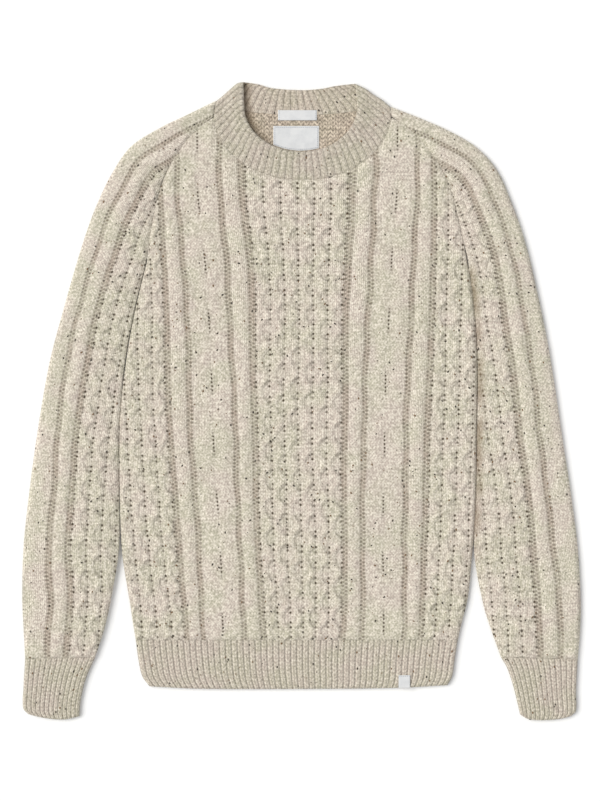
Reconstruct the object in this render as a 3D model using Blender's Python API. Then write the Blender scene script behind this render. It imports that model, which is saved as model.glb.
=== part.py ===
# Aran sweater of thick flecked wool, laid flat on its back with its front up.
# X runs across the chest, Y from hem to neck, Z up from the surface that it lies on.
# Its wearer's right arm is on the -X side. Sizes are in millimetres, and the meshes in metres.

import math

import bmesh
import bpy
from mathutils import Vector
from mathutils.geometry import delaunay_2d_cdt, intersect_point_line

MM = 0.001

# Each piece lies as a back layer on the surface and a front layer on top of it.
SEAM_GAP = 0.34
BACK_TOP = 3.6
FRONT_UNDER = 3.9
FOLD_HEIGHT = 3.75
FOLD_WALL = 4.0
FOLD_ROUND = 7.0
GROUND = 7.0
SEAM_DIP = 1.1
SEAM_MARGIN = 3.5
SEAM_FADE = 7.0
CABLE = 2.6

# The rounding of the folded edges: distances in from an edge, and heights there.
FRONT_EDGE_STEPS = (1.8, 5.0)
TUBE_EDGE_STEPS = (2.0,)
UNDER_EDGE_STEPS = (2.5, 6.5)
UNDER_EDGE_HEIGHT = 1.0
EDGE_LIP = 0.7
EDGE_CABLE = 1.0
ON_LINE = 0.1

# Air holds a sleeve's front layer off its back, up to this height and over these distances in.
SLEEVE_PUFF = 2.6
PUFF_RUN_ARMHOLE = 70
PUFF_RUN_CUFF = 30
PUFF_RUN_FOLD = 38
SLEEVE_MARGIN = 5.6

# The knit: stitches across, counted from the centre line, and rows up from a row of cable crossings.
ROW = 4.42
FIRST_CROSSING_Y = 22.0
HONEYCOMB_STITCH = 4.2
HONEYCOMB_REPEAT = 4
RING_REPEAT = 16
SLEEVE_CENTRE_STITCH = 26

# How the strands lie, as shares of a honeycomb column, of a rope's height and of a ring's half width.
STRAND_WIDTH = 0.42
STRAND_SWING = 0.25
SWING_SHARPNESS = 1.5
ROPE_HEIGHT = 0.9
ROPE_TWIST = 0.28
RING_PINCH = 0.14
RING_CROSSED = 0.22
RING_OPENED = 0.55
RING_STRAND = 0.44

# first stitch, last stitch, kind
PANELS = (
    (0, 12, "honeycomb"),
    (12, 14, "ladder"),
    (14, 18, "rope"),
    (18, 20, "ladder"),
    (20, 32, "rings"),
    (32, 34, "ladder"),
    (34, 38, "rope"),
    (38, 40, "ladder"),
    (40, 72, "honeycomb"),
)

# The stitches at which the cables' heights are taken: in the body outwards from the centre line, in
# the sleeves inwards from the outer fold.
BODY_STITCHES = (*range(11), 13, 14.9, 17.1, 19, 21, 23.2, 26, 28.8, 31, 33, 34.9, 37.1, 39,
                 *range(41, 56))
SLEEVE_STITCHES = (1.5, 3.5, 5.2, 7, 8.9, 11.1, 13, *range(15, 29))
OUTER_LADDER = 7
INNER_LADDER = 13
ROWS_PER_SAMPLE = 2

# Guides of the body's knit: distance from the centre line to the middle of each ladder and ring cable.
GUIDE_STITCHES = (0, 13, 19, 26, 33, 39, 44)
BODY_GUIDES = (
    # y, centre line, ladder, ladder, ring cable, ladder, ladder, side honeycomb
    (-280, 2, 47, 68, 93, 117, 136, 153),
    (-256, 2, 48, 69, 94, 119, 138, 155),
    (-34, -3, 53, 74.5, 100, 126.5, 150, 169),
    (142, -3, 56, 82, 107.5, 134.5, 157, 173),
    (247, -5, 65, 89.5, 116, 141, 160, 178),
    (340, -5, 66, 90, 117, 142, 161, 179),
)

# The body's side edges, from the top of the hem rib to the underarms.
BODY_EDGES = (
    # y, -X edge, +X edge
    (-280, -194, 183),
    (-262, -197, 187),
    (-229, -202, 195),
    (-182, -209.5, 199.5),
    (-139, -212, 203),
    (-92, -213, 204.5),
    (-34, -213, 205),
    (0, -211, 205.5),
    (48, -205, 205.5),
    (95, -197, 203.5),
    (141, -186.5, 198.5),
    (162, -181, 194),
)

# The raglan seams, from the underarms to the neckband.
RAGLANS = (
    # y, -X seam, +X seam
    (162, -181, 194),
    (190, -178, 188.5),
    (213, -174, 183.5),
    (236, -169, 178),
    (257, -162.5, 171),
    (277, -153, 161),
    (295, -141.5, 149.5),
    (308, -131.5, 138),
    (321, -118.5, 122.5),
    (332, -102.8, 104.8),
)

# The neckband: half ellipses for its seam and its rim, and its two folds at the shoulders.
NECK_SEAM = {"x": 1, "y": 337, "across": 104, "down": 78.4}
NECK_RIM = {"x": -1, "y": 345, "across": 66, "down": 53.4}
NECK_FOLD_MINUS_X = ((-68, 373.5), (-75, 372), (-83, 365.5), (-92, 357.5), (-100, 351))
NECK_FOLD_PLUS_X = ((104.5, 344), (93, 353.5), (84, 359), (76, 365), (63, 371.5))
BACK_NECK_TOP = ((63, 371.5), (39, 368.6), (24, 365.6), (0, 364), (-35, 366.3), (-50, 370.5), (-68, 373.5))
BACK_NECK_SEAM_LOW = 334.6
BACK_NECK_SEAM_RISE = 13.0
NECK_RIBS = 44

# Lines across each sleeve, from the neckband to the cuff. The ladders are distances from the outer end.
SLEEVE_MINUS_X = (
    # outer x, outer y, inner x, inner y, ladder, ladder
    (-100, 351.5, -103, 333, 18, 40),
    (-133, 335.5, -130, 309.5, 18, 40),
    (-166, 319.5, -151, 280, 18.5, 40),
    (-200, 297.5, -163, 257, 19, 40),
    (-223, 264.5, -169, 236, 19, 40),
    (-240, 229, -174.5, 211, 19, 40),
    (-252, 197, -178, 187, 19, 40),
    (-261.5, 167, -182, 162, 19.5, 41),
    (-276.5, 115, -194, 112, 18.5, 40),
    (-295, 45, -207, 42, 21, 44),
    (-309.5, -39, -214, -40, 26, 46.5),
    (-319, -109, -214, -109, 31.5, 50),
    (-325.5, -172, -213.5, -172, 32, 52),
    (-327, -230, -222.5, -230, 35, 56),
    (-325.5, -266, -230.5, -266, 31, 51),
    (-323.5, -302, -241.5, -300, 27, 46.5),
)
SLEEVE_PLUS_X = (
    # outer x, outer y, inner x, inner y, ladder, ladder
    (104.5, 344.5, 105, 333, 18, 40),
    (139, 331, 133, 312, 18, 40),
    (176, 314.5, 158, 281, 18.5, 40),
    (206, 296, 171, 257, 19, 40),
    (229, 270, 178, 236, 19, 40),
    (246.5, 231, 184, 211, 19, 40),
    (258, 199, 188.5, 190, 20, 40),
    (268.5, 161.5, 195, 162, 21, 40),
    (286.5, 78, 206.5, 78, 24.5, 46),
    (295.5, 25, 208.5, 25, 25, 47),
    (305.5, -43, 208.5, -43, 27.5, 49.5),
    (315.5, -109, 207.5, -109, 29, 50),
    (323.5, -172, 205.5, -175, 30.5, 52.5),
    (327, -235, 214, -235, 26.5, 50),
    (326, -272, 222, -268, 24, 47),
    (323.5, -302, 233.5, -300, 21, 43.5),
)

# The inner edges of the sleeves lie beside the body down to here, and then part from it.
PARTING_Y = -165
UNDERARM_Y = 162
SLEEVE_CLEARANCE_MINUS_X = 1.0
SLEEVE_CLEARANCE_PLUS_X = 3.0
CLEARANCE_RUN = 50
PARTED_MINUS_X = ((-214.5, -181), (-217, -200), (-222.5, -230), (-230.5, -266), (-241.5, -300))
PARTED_PLUS_X = ((205, -185), (207, -205), (214, -235), (222, -268), (233.5, -300))

# The cuffs, each from its top corners down its sides to its bottom edge.
CUFF_RIBS = 13
CUFF_MINUS_X = {
    "inner": ((-260, -369), (-258.5, -350), (-252, -324), (-241.5, -300)),
    "outer": ((-323.5, -302), (-325.5, -335), (-325.8, -360), (-320, -366.5)),
    "bottom": ((-320, -366.5), (-301, -371), (-278, -372.8), (-260, -369)),
}
CUFF_PLUS_X = {
    "inner": ((256, -367), (248, -334), (240.5, -312), (233.5, -300)),
    "outer": ((323.5, -302), (321.5, -339), (321.5, -363), (316, -368.5)),
    "bottom": ((316, -368.5), (304, -371.8), (285, -373.5), (266, -372.5), (256, -367)),
}

# The ribbed hem.
HEM_RIBS = 54
HEM_TOP_Y = -280
HEM_MINUS_X = ((-194, -280), (-191, -302), (-186.5, -322), (-178, -334))
HEM_PLUS_X = ((171, -332.5), (176.5, -322), (179.5, -302), (183, -280))
HEM_BOTTOM = ((-178, -334), (-120, -336.8), (0, -337), (110, -335.8), (171, -332.5))

# The ribs of the hem, the cuffs and the neckband, and the rows of points along them.
RIB = 1.5
RIB_GROUND = 6.8
RIB_END = 5.5
RIB_ROWS = (0, 0.06, 0.36, 0.66, 0.94, 1)

# Labels and the tab at the hem: bare woven tape. A strip rests just above what it is sewn to.
TAPE = 0.6
TAPE_GAP = 0.3
NECK_LABEL = {"left": -33, "right": 20.5, "top": 322, "rim_gap": 1.5}
SMALL_LABEL = {"left": -27.5, "right": 18, "top": 340.5, "bottom": 328.5}
HEM_TAB = {"left": 113.5, "right": 127, "top": -320.5, "bottom": -335.5}

# The spacing of the points that draw the outlines.
OUTLINE_STEP = 12.0
SEAM_STEP = 9.0
LAST_STEP = 3.0
FINE_STEP = 2.0
SHARP_ANGLE = math.radians(15)


def read(table, place):
    """The other columns of a table at a place between its rows, on smooth curves."""
    rows = sorted(table)
    place = max(rows[0][0], min(rows[-1][0], place))
    index = min(len(rows) - 2, sum(row[0] <= place for row in rows) - 1)
    start, end = rows[index], rows[index + 1]
    before, after = rows[max(0, index - 1)], rows[min(len(rows) - 1, index + 2)]
    span = end[0] - start[0]
    t = (place - start[0]) / span
    values = []
    for column in range(1, len(start)):
        slope = (end[column] - before[column]) / (end[0] - before[0]) * span
        next_slope = (after[column] - start[column]) / (after[0] - start[0]) * span
        values.append(
            (2 * t**3 - 3 * t**2 + 1) * start[column]
            + (t**3 - 2 * t**2 + t) * slope
            + (3 * t**2 - 2 * t**3) * end[column]
            + (t**3 - t**2) * next_slope
        )
    return values


def at_shares(points, shares):
    """The points at the given shares of a line's length."""
    lengths = [0.0]
    for a, b in zip(points, points[1:]):
        lengths.append(lengths[-1] + (b - a).length)
    found = []
    for share in shares:
        target = lengths[-1] * share
        index = min(len(points) - 2, sum(length <= target for length in lengths) - 1)
        part_way = (target - lengths[index]) / (lengths[index + 1] - lengths[index])
        found.append(points[index].lerp(points[index + 1], part_way))
    return found


def spaced(points, step):
    """The same line with points about a step apart, both ends kept."""
    length = sum((b - a).length for a, b in zip(points, points[1:]))
    count = max(1, round(length / step))
    return at_shares(points, [number / count for number in range(count + 1)])


def smooth_line(points, step):
    """A smooth line through a few points, with points about a step apart."""
    rows = [(0.0, *points[0])]
    for a, b in zip(points, points[1:]):
        rows.append((rows[-1][0] + math.dist(a, b), *b))
    count = 12 * (len(points) - 1)
    return spaced([Vector(read(rows, rows[-1][0] * i / count)) for i in range(count + 1)], step)


def table_line(table, column, low, high, step):
    """The line that a column of a table draws between two heights, going up."""
    count = 60
    heights = [low + (high - low) * i / count for i in range(count + 1)]
    return spaced([Vector((read(table, y)[column], y)) for y in heights], step)


def fold_line(points):
    """A fold's line with one more point close to each end, where the wall's thickness turns."""
    first = points[0] + (points[1] - points[0]).normalized() * LAST_STEP
    last = points[-1] + (points[-2] - points[-1]).normalized() * LAST_STEP
    return [points[0], first, *points[1:-1], last, points[-1]]


def arc_line(ellipse, start, end, step):
    """The lower half of an ellipse from one x to another, both on the ellipse's own level or below."""
    def angle(x):
        return math.acos(max(-1.0, min(1.0, (x - ellipse["x"]) / ellipse["across"])))

    count = 90
    points = []
    for number in range(count + 1):
        turn = angle(start) + (angle(end) - angle(start)) * number / count
        x = ellipse["x"] + ellipse["across"] * math.cos(turn)
        points.append(Vector((x, ellipse["y"] - ellipse["down"] * math.sin(turn))))
    return spaced(points, step)


def area(loop):
    return sum(a.x * b.y - b.x * a.y for a, b in zip(loop, loop[1:] + loop[:1])) / 2


def inset(loop, distance):
    """A closed loop that runs anticlockwise, moved inwards with its corners kept."""
    moved = []
    for before, point, after in zip(loop[-1:] + loop[:-1], loop, loop[1:] + loop[:1]):
        into = (point - before).normalized()
        onward = (after - point).normalized()
        normal = Vector((-into.y, into.x))
        mitre = (normal + Vector((-onward.y, onward.x))).normalized()
        moved.append(point + mitre * (distance / max(0.5, mitre.dot(normal))))
    return moved


def reach(point, line):
    """The distance from a point to a line of points."""
    best = math.inf
    for a, b in zip(line, line[1:]):
        nearest, share = intersect_point_line(point, a, b)
        nearest = a if share < 0 else b if share > 1 else nearest.to_2d()
        best = min(best, (point - nearest).length)
    return best


def inside(point, loop):
    crossings = 0
    for a, b in zip(loop, loop[1:] + loop[:1]):
        if (a.y > point.y) != (b.y > point.y):
            crossings += point.x < a.x + (point.y - a.y) / (b.y - a.y) * (b.x - a.x)
    return crossings % 2 == 1


def crown(distance):
    """From 0 at a folded edge to 1 where the cloth has turned flat."""
    return math.sqrt(1 - (1 - min(1.0, distance / FOLD_ROUND)) ** 2)


def arch(offset):
    return max(0.0, 1 - offset * offset)


def fade(distance):
    """The cables flatten towards a seam."""
    return min(1.0, distance / SEAM_FADE)


def ring_opening(row):
    """From 0 where the ring cable's strands cross to 1 where they are widest apart."""
    return 0.5 + 0.5 * math.cos(2 * math.pi * row / RING_REPEAT)


def relief(stitch, row):
    """How far the cables stand above the plain ground, in millimetres."""
    stitch = abs(stitch)
    start, end, kind = next(panel for panel in PANELS if stitch < panel[1])
    across = (stitch - start) / (end - start)
    turn = row / HONEYCOMB_REPEAT
    if kind == "honeycomb":
        column, place = divmod((stitch - start) / HONEYCOMB_REPEAT, 1)
        swing = max(-1.0, min(1.0, SWING_SHARPNESS * math.cos(math.pi * (turn + column + 0.5))))
        strand = 0.5 + STRAND_SWING * swing
        return CABLE * math.exp(-(((place - strand) / STRAND_WIDTH) ** 2))
    if kind == "rope":
        twist = 1 - ROPE_TWIST + ROPE_TWIST * math.cos(2 * math.pi * (turn + across))
        return ROPE_HEIGHT * CABLE * twist * arch(2 * across - 1) ** 0.5
    if kind == "rings":
        strand = RING_CROSSED + (RING_OPENED - RING_CROSSED) * ring_opening(row)
        return CABLE * arch((abs(2 * across - 1) - strand) / RING_STRAND)
    return 0.0


def sampled(stitch, row):
    """Whether a height is taken here. In the honeycomb it is taken where a strand may lie in this row."""
    start, _, kind = next(panel for panel in PANELS if stitch < panel[1])
    return kind != "honeycomb" or (stitch - start) % 2 == (row % HONEYCOMB_REPEAT) / 2


def drawn_in(stitch, row):
    """A ring cable's stitches lie closer to its middle where its two strands cross."""
    start, end, kind = next(panel for panel in PANELS if stitch < panel[1])
    if kind != "rings":
        return stitch
    middle = (start + end) / 2
    return middle + (stitch - middle) * (1 - 2 * RING_PINCH * (1 - ring_opening(row)))


def row_at(y):
    return (y - FIRST_CROSSING_Y) / ROW


def body_samples(loop, folded):
    """Points of the body's cable pattern inside its outline, clear of its folded sides, with heights."""
    seams = loop + loop[:1]
    found = []
    first = math.ceil(row_at(HEM_TOP_Y) / ROWS_PER_SAMPLE) * ROWS_PER_SAMPLE
    for row in range(first, math.ceil(row_at(NECK_SEAM["y"])), ROWS_PER_SAMPLE):
        y = FIRST_CROSSING_Y + row * ROW
        centre, *guides = read(BODY_GUIDES, y)
        guide_rows = list(zip(GUIDE_STITCHES, [0, *guides]))
        for counted in BODY_STITCHES:
            if not sampled(counted, row):
                continue
            stitch = drawn_in(counted, row)
            if stitch <= GUIDE_STITCHES[-1]:
                distance = read(guide_rows, stitch)[0]
            else:
                distance = guides[-1] + (stitch - GUIDE_STITCHES[-1]) * HONEYCOMB_STITCH
            for side in (-1, 1) if stitch else (1,):
                point = Vector((centre + side * distance, y))
                if not inside(point, loop) or min(reach(point, edge) for edge in folded) < FOLD_ROUND:
                    continue
                near = reach(point, seams)
                if near > SEAM_MARGIN:
                    found.append((point, GROUND + relief(stitch, row) * fade(near)))
    return found


class Shell:
    """Gathers the points and faces of one closed mesh, in millimetres."""

    def __init__(self):
        self.points = []
        self.faces = []

    def add(self, places, heights):
        """Adds points at places on the plan, and returns their numbers."""
        first = len(self.points)
        self.points += [(place.x, place.y, height) for place, height in zip(places, heights)]
        return list(range(first, len(self.points)))

    def cover(self, loop, within=()):
        """Fills a loop of points on the plan with triangles that use the points within it."""
        used = [*loop, *within]
        places = [Vector(self.points[number][:2]) for number in used]
        result = delaunay_2d_cdt(places, [], [list(range(len(loop)))], 1, 1e-4)
        origin = [used[numbers[0]] for numbers in result[3]]
        self.faces += [[origin[corner] for corner in face] for face in result[2]]

    def strip(self, first, second):
        """Joins two lines of points with triangles."""
        shares = []
        for line in (first, second):
            gone = [0.0]
            for a, b in zip(line, line[1:]):
                gone.append(gone[-1] + math.dist(self.points[a][:2], self.points[b][:2]))
            shares.append([length / gone[-1] for length in gone] + [2.0])
        i = j = 0
        while i < len(first) - 1 or j < len(second) - 1:
            if shares[0][i + 1] <= shares[1][j + 1]:
                self.faces.append([first[i], first[i + 1], second[j]])
                i += 1
            else:
                self.faces.append([first[i], second[j + 1], second[j]])
                j += 1

    def finish(self, name, material):
        """Makes the object, with its faces turned outwards."""
        mesh = bmesh.new()
        vertices = [mesh.verts.new([MM * value for value in point]) for point in self.points]
        for face in self.faces:
            mesh.faces.new([vertices[number] for number in face])
        bmesh.ops.recalc_face_normals(mesh, faces=mesh.faces)
        data = bpy.data.meshes.new(name)
        mesh.to_mesh(data)
        mesh.free()
        data.shade_smooth()
        data.set_sharp_from_angle(angle=SHARP_ANGLE)
        data.materials.append(material)
        bpy.context.scene.collection.objects.link(bpy.data.objects.new(name, data))


def paint(name, colour, roughness):
    """A plain matt material, its colour in linear values."""
    material = bpy.data.materials.new(name)
    material.use_nodes = True
    shader = material.node_tree.nodes["Principled BSDF"]
    shader.inputs["Base Color"].default_value = (*colour, 1)
    shader.inputs["Roughness"].default_value = roughness
    shader.inputs["Metallic"].default_value = 0
    return material


def edge_rings(loop, edges, steps):
    """Points on rings a few steps in from a loop, beside the edges given, each with its distance in."""
    found = []
    closed = loop + loop[:1]
    for step in steps:
        for point in inset(loop, step):
            near = min(reach(point, edge) for edge in edges)
            if near < step * 1.05 + 0.1 and inside(point, loop) and reach(point, closed) > step * 0.9:
                found.append((point, near))
    return found


def on(point, lines):
    """Whether a point lies on one of the lines."""
    return min(reach(point, line) for line in lines) < ON_LINE


def underside_edge(outline, folds):
    """Points of the underside beside its folds, which curve up from the surface."""
    low, flat = UNDER_EDGE_STEPS
    return [
        (point, UNDER_EDGE_HEIGHT if near < (low + flat) / 2 else 0.0)
        for point, near in edge_rings(outline, folds, (low, flat))
    ]


def side_edges():
    """The body's side edges between the hem and the underarms, going up."""
    return [table_line(BODY_EDGES, column, HEM_TOP_Y, UNDERARM_Y, OUTLINE_STEP) for column in (0, 1)]


def raglan_lines():
    """The raglan seams from the underarms to the neckband, going up."""
    return [table_line(RAGLANS, column, UNDERARM_Y, RAGLANS[-1][0], SEAM_STEP) for column in (0, 1)]


def neck_sides():
    """The short seams between the sleeves' tops and the neckband, going up."""
    minus_x = spaced([raglan_lines()[0][-1], Vector(NECK_FOLD_MINUS_X[-1])], SEAM_STEP)
    plus_x = spaced([raglan_lines()[1][-1], Vector(NECK_FOLD_PLUS_X[0])], SEAM_STEP)
    return minus_x, plus_x


def back_neck_seam():
    """The seam under the back neckband, from the +X fold to the -X fold."""
    start, end = Vector(NECK_FOLD_PLUS_X[0]), Vector(NECK_FOLD_MINUS_X[-1])
    points = [start]
    for x in (72, 40, 0, -40, -72):
        points.append(Vector((x, BACK_NECK_SEAM_LOW + BACK_NECK_SEAM_RISE * (x / start.x) ** 2)))
    return smooth_line([tuple(point) for point in [*points, end]], OUTLINE_STEP)


def body_panels(wool):
    """The front, with its cables, and the back, whose outer side lies flat on the surface."""
    sides, raglans = side_edges(), raglan_lines()
    bottom = spaced([sides[0][0], sides[1][0]], OUTLINE_STEP)
    neck = arc_line(NECK_SEAM, raglans[1][-1].x, raglans[0][-1].x, SEAM_STEP)
    neck_minus_x, neck_plus_x = neck_sides()
    up = [*bottom[:-1], *sides[1][:-1], *raglans[1][:-1]]
    down = [*raglans[0][:0:-1], *sides[0][:0:-1]]
    side_start = len(bottom)
    side_end = len(bottom) + len(sides[1]) - 2

    front = inset([*up, *neck[:-1], raglans[0][-1], *down[1:]], SEAM_GAP / 2)
    folded = [front[side_start - 1:side_end + 1], front[1 - len(sides[0]):] + front[:1]]
    shell = Shell()
    seam_height = GROUND - SEAM_DIP / 2
    outer = shell.add(front, [FRONT_UNDER + EDGE_LIP if on(point, folded) else seam_height for point in front])
    rounded = [
        (point, FRONT_UNDER + (GROUND + EDGE_CABLE - FRONT_UNDER) * crown(near))
        for point, near in edge_rings(front, folded, FRONT_EDGE_STEPS)
    ]
    shell.cover(outer, shell.add(*zip(*rounded, *body_samples(front, folded))))
    under = shell.add(front, [FRONT_UNDER] * len(front))
    shell.cover(under)
    shell.strip(outer + outer[:1], under + under[:1])
    shell.finish("front_panel", wool)

    over_neck = [*neck_plus_x[:-1], *back_neck_seam()[:-1], *neck_minus_x[:0:-1]]
    back = inset([*up, *over_neck, raglans[0][-1], *down[1:]], SEAM_GAP / 2)
    folded = [back[side_start - 1:side_end + 1], back[1 - len(sides[0]):] + back[:1]]
    shell = Shell()
    inner = shell.add(back, [BACK_TOP] * len(back))
    shell.cover(inner)
    outer = shell.add(back, [BACK_TOP - EDGE_LIP if on(point, folded) else 0.0 for point in back])
    shell.cover(outer, shell.add(*zip(*underside_edge(back, folded))))
    shell.strip(outer + outer[:1], inner + inner[:1])
    shell.finish("back_panel", wool)


def every(points, count):
    """Each so-many-th of the points, with the first and the last."""
    return points[:-1:count] + points[-1:]


def level(point):
    """The lift of a layer that lies flat."""
    return 0.0


def folded_piece(name, material, front, back, front_ends, add_top, lift=level, coarse=1):
    """A flattened tube: two layers joined at two folds and open at two ends.

    front and back hold the layers' outlines as fold, end, fold, end, run anticlockwise. The folds
    hold their corners and are the same in both. front_ends has the heights along the front's ends,
    add_top adds the outer side of the front layer, and lift is how far air holds it off the back.
    """
    shell = Shell()
    folds = [shell.add(line, [FOLD_HEIGHT] * len(line)) for line in (front[0], front[2])]
    top_ends = [shell.add(front[k], front_ends[k // 2]) for k in (1, 3)]
    add_top(shell, front, folds, top_ends)

    outline = [point for part in front for point in part]
    creases = []
    for fold in (front[0], front[2]):
        moved = inset(outline, FOLD_WALL)
        where = outline.index(fold[1])
        creases.append(moved[where:where + len(fold) - 2])

    roof_sides = [shell.add(crease, [FRONT_UNDER] * len(crease)) for crease in creases]
    roof_plan = [every(front[k], coarse) for k in (1, 3)]
    roof_ends = [shell.add(line, [FRONT_UNDER + lift(point) for point in line]) for line in roof_plan]
    spots = [(a + b) / 2 for a, b in zip(every(creases[0], 2), every(creases[1][::-1], 2))]
    spots = [spot for spot in spots if reach(spot, outline + outline[:1]) > 2 * FOLD_WALL]
    ridge = shell.add(spots, [FRONT_UNDER + lift(spot) for spot in spots])
    shell.cover([*roof_sides[0], *roof_ends[0], *roof_sides[1], *roof_ends[1]], ridge if lift != level else [])

    floor_plan = [every(back[k], coarse) for k in (1, 3)]
    floor_sides = [shell.add(crease, [BACK_TOP] * len(crease)) for crease in creases]
    floor_ends = [shell.add(line, [BACK_TOP] * len(line)) for line in floor_plan]
    shell.cover([*floor_sides[0], *floor_ends[0], *floor_sides[1], *floor_ends[1]])

    back_outline = [point for part in back for point in part]
    under_ends = [shell.add(line, [0.0] * len(line)) for line in floor_plan]
    ring = shell.add(*zip(*underside_edge(back_outline, (back[0], back[2]))))
    shell.cover([*folds[0], *under_ends[0], *folds[1], *under_ends[1]], ring)

    for side in (0, 1):
        shell.strip(roof_sides[side], floor_sides[side])
    for end, (start, finish) in enumerate(((0, 1), (1, 0))):
        corners = (folds[start][-1], folds[finish][0])
        shell.strip(
            [corners[0], *top_ends[end], corners[1]],
            [roof_sides[start][-1], *roof_ends[end], roof_sides[finish][0]],
        )
        shell.strip(
            [corners[0], *under_ends[end], corners[1]],
            [floor_sides[start][-1], *floor_ends[end], floor_sides[finish][0]],
        )
        shell.faces.append([corners[0], roof_sides[start][-1], floor_sides[start][-1]])
        shell.faces.append([corners[1], roof_sides[finish][0], floor_sides[finish][0]])
    shell.finish(name, material)


def wound(parts):
    """The outline parts fold, end, fold, end, made to run anticlockwise and moved in from the seams."""
    loop = [point for part in parts for point in part]
    if area(loop) < 0:
        parts = [parts[2][::-1], parts[1][::-1], parts[0][::-1], parts[3][::-1]]
        loop = [point for part in parts for point in part]
    moved = inset(loop, SEAM_GAP / 2)
    found = []
    for part in parts:
        found.append(moved[:len(part)])
        moved = moved[len(part):]
    return found


def sleeve_sections(table):
    """The sleeve's cross lines with the length along its outer ladder as the first column."""
    ladder = []
    for row in table:
        outer, inner = Vector(row[:2]), Vector(row[2:4])
        ladder.append(outer + (inner - outer).normalized() * row[4])
    gone = 0.0
    rows = [(gone, *table[0])]
    for before, point, row in zip(ladder, ladder[1:], table[1:]):
        gone += (point - before).length
        rows.append((gone, *row))
    return rows


def sleeve_point(section, stitch):
    """The place of a stitch, counted from the sleeve's outer fold, on one of its cross lines."""
    outer, inner = Vector(section[:2]), Vector(section[2:4])
    ladder, second = section[4:]
    if stitch <= OUTER_LADDER:
        distance = ladder * stitch / OUTER_LADDER
    elif stitch <= INNER_LADDER:
        distance = ladder + (second - ladder) * (stitch - OUTER_LADDER) / (INNER_LADDER - OUTER_LADDER)
    else:
        distance = second + (stitch - INNER_LADDER) * HONEYCOMB_STITCH
    return outer + (inner - outer).normalized() * distance


def sleeve(name, wool, table, side):
    """One sleeve, from its raglan seam and its short seam at the neckband to the top of its cuff."""
    column = 0 if side < 0 else 1
    clearance = SLEEVE_CLEARANCE_MINUS_X if side < 0 else SLEEVE_CLEARANCE_PLUS_X
    beside = table_line(BODY_EDGES, column, PARTING_Y, UNDERARM_Y - OUTLINE_STEP, OUTLINE_STEP)
    raglan = raglan_lines()[column]
    inner = []
    for point in beside:
        opened = min(1.0, (UNDERARM_Y - point.y) / CLEARANCE_RUN)
        inner.append(point + Vector((side * clearance * opened, 0)))
    parted = [Vector(point) for point in (PARTED_MINUS_X if side < 0 else PARTED_PLUS_X)]
    underarm = raglan[0] + Vector((side * SEAM_GAP, 0))
    inner_fold = fold_line(spaced([*parted[::-1], *inner, underarm], OUTLINE_STEP))
    outer_fold = fold_line(smooth_line([row[:2] for row in table], OUTLINE_STEP))
    neck = neck_sides()[column]
    outer_fold[0] = neck[-1]
    armhole = [*raglan[1:], *neck[1:-1]]
    cuff_seam = spaced([outer_fold[-1], inner_fold[0]], SEAM_STEP)[1:-1]
    parts = wound([inner_fold, armhole, outer_fold, cuff_seam])
    sections = sleeve_sections(table)

    def puff(point):
        """The air between the two layers, which dies away at the seam and the cuff."""
        ends = min(1.0, reach(point, armhole) / PUFF_RUN_ARMHOLE, reach(point, cuff_seam) / PUFF_RUN_CUFF)
        across = min(reach(point, inner_fold), reach(point, outer_fold))
        return SLEEVE_PUFF * ends * math.sin(0.5 * math.pi * min(1.0, across / PUFF_RUN_FOLD))

    def knit(shell, front, folds, ends):
        """Adds the front layer's outer side, with its cables."""
        outline = [point for part in front for point in part]
        closed = outline + outline[:1]
        found = []
        for row in range(ROWS_PER_SAMPLE, int(sections[-1][0] / ROW), ROWS_PER_SAMPLE):
            section = read(sections, row * ROW)
            for stitch in SLEEVE_STITCHES:
                counted = SLEEVE_CENTRE_STITCH + stitch
                point = sleeve_point(section, stitch)
                if not sampled(counted, row) or not inside(point, outline):
                    continue
                to_fold = min(reach(point, front[0]), reach(point, front[2]))
                to_edge = reach(point, closed)
                if to_fold > SLEEVE_MARGIN and to_edge > SEAM_MARGIN:
                    found.append((point, GROUND + puff(point) + relief(counted, row) * fade(to_edge)))
        for point, near in edge_rings(outline, (front[0], front[2]), TUBE_EDGE_STEPS):
            found.append((point, FOLD_HEIGHT + (GROUND + EDGE_CABLE - FOLD_HEIGHT) * crown(near)))
        shell.cover([*folds[0], *ends[0], *folds[1], *ends[1]], shell.add(*zip(*found)))

    ends = [[GROUND - SEAM_DIP / 2] * len(parts[k]) for k in (1, 3)]
    folded_piece(name, wool, parts, parts, ends, knit, lift=puff)


def ribbed_line(points, ribs):
    """A line with two points to each rib, without its ends."""
    length = sum((b - a).length for a, b in zip(points, points[1:]))
    return spaced(points, length / (2 * ribs))[1:-1]


def ribbed_fold(points):
    """A ribbed piece's fold, with as many points on each side of the piece."""
    return at_shares(smooth_line(points, FINE_STEP), RIB_ROWS)


def rib_heights(line, base):
    """Heights along a ribbed edge: a ridge at every other point."""
    return [base + (RIB if number % 2 == 0 else 0.0) for number in range(len(line))]


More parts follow.
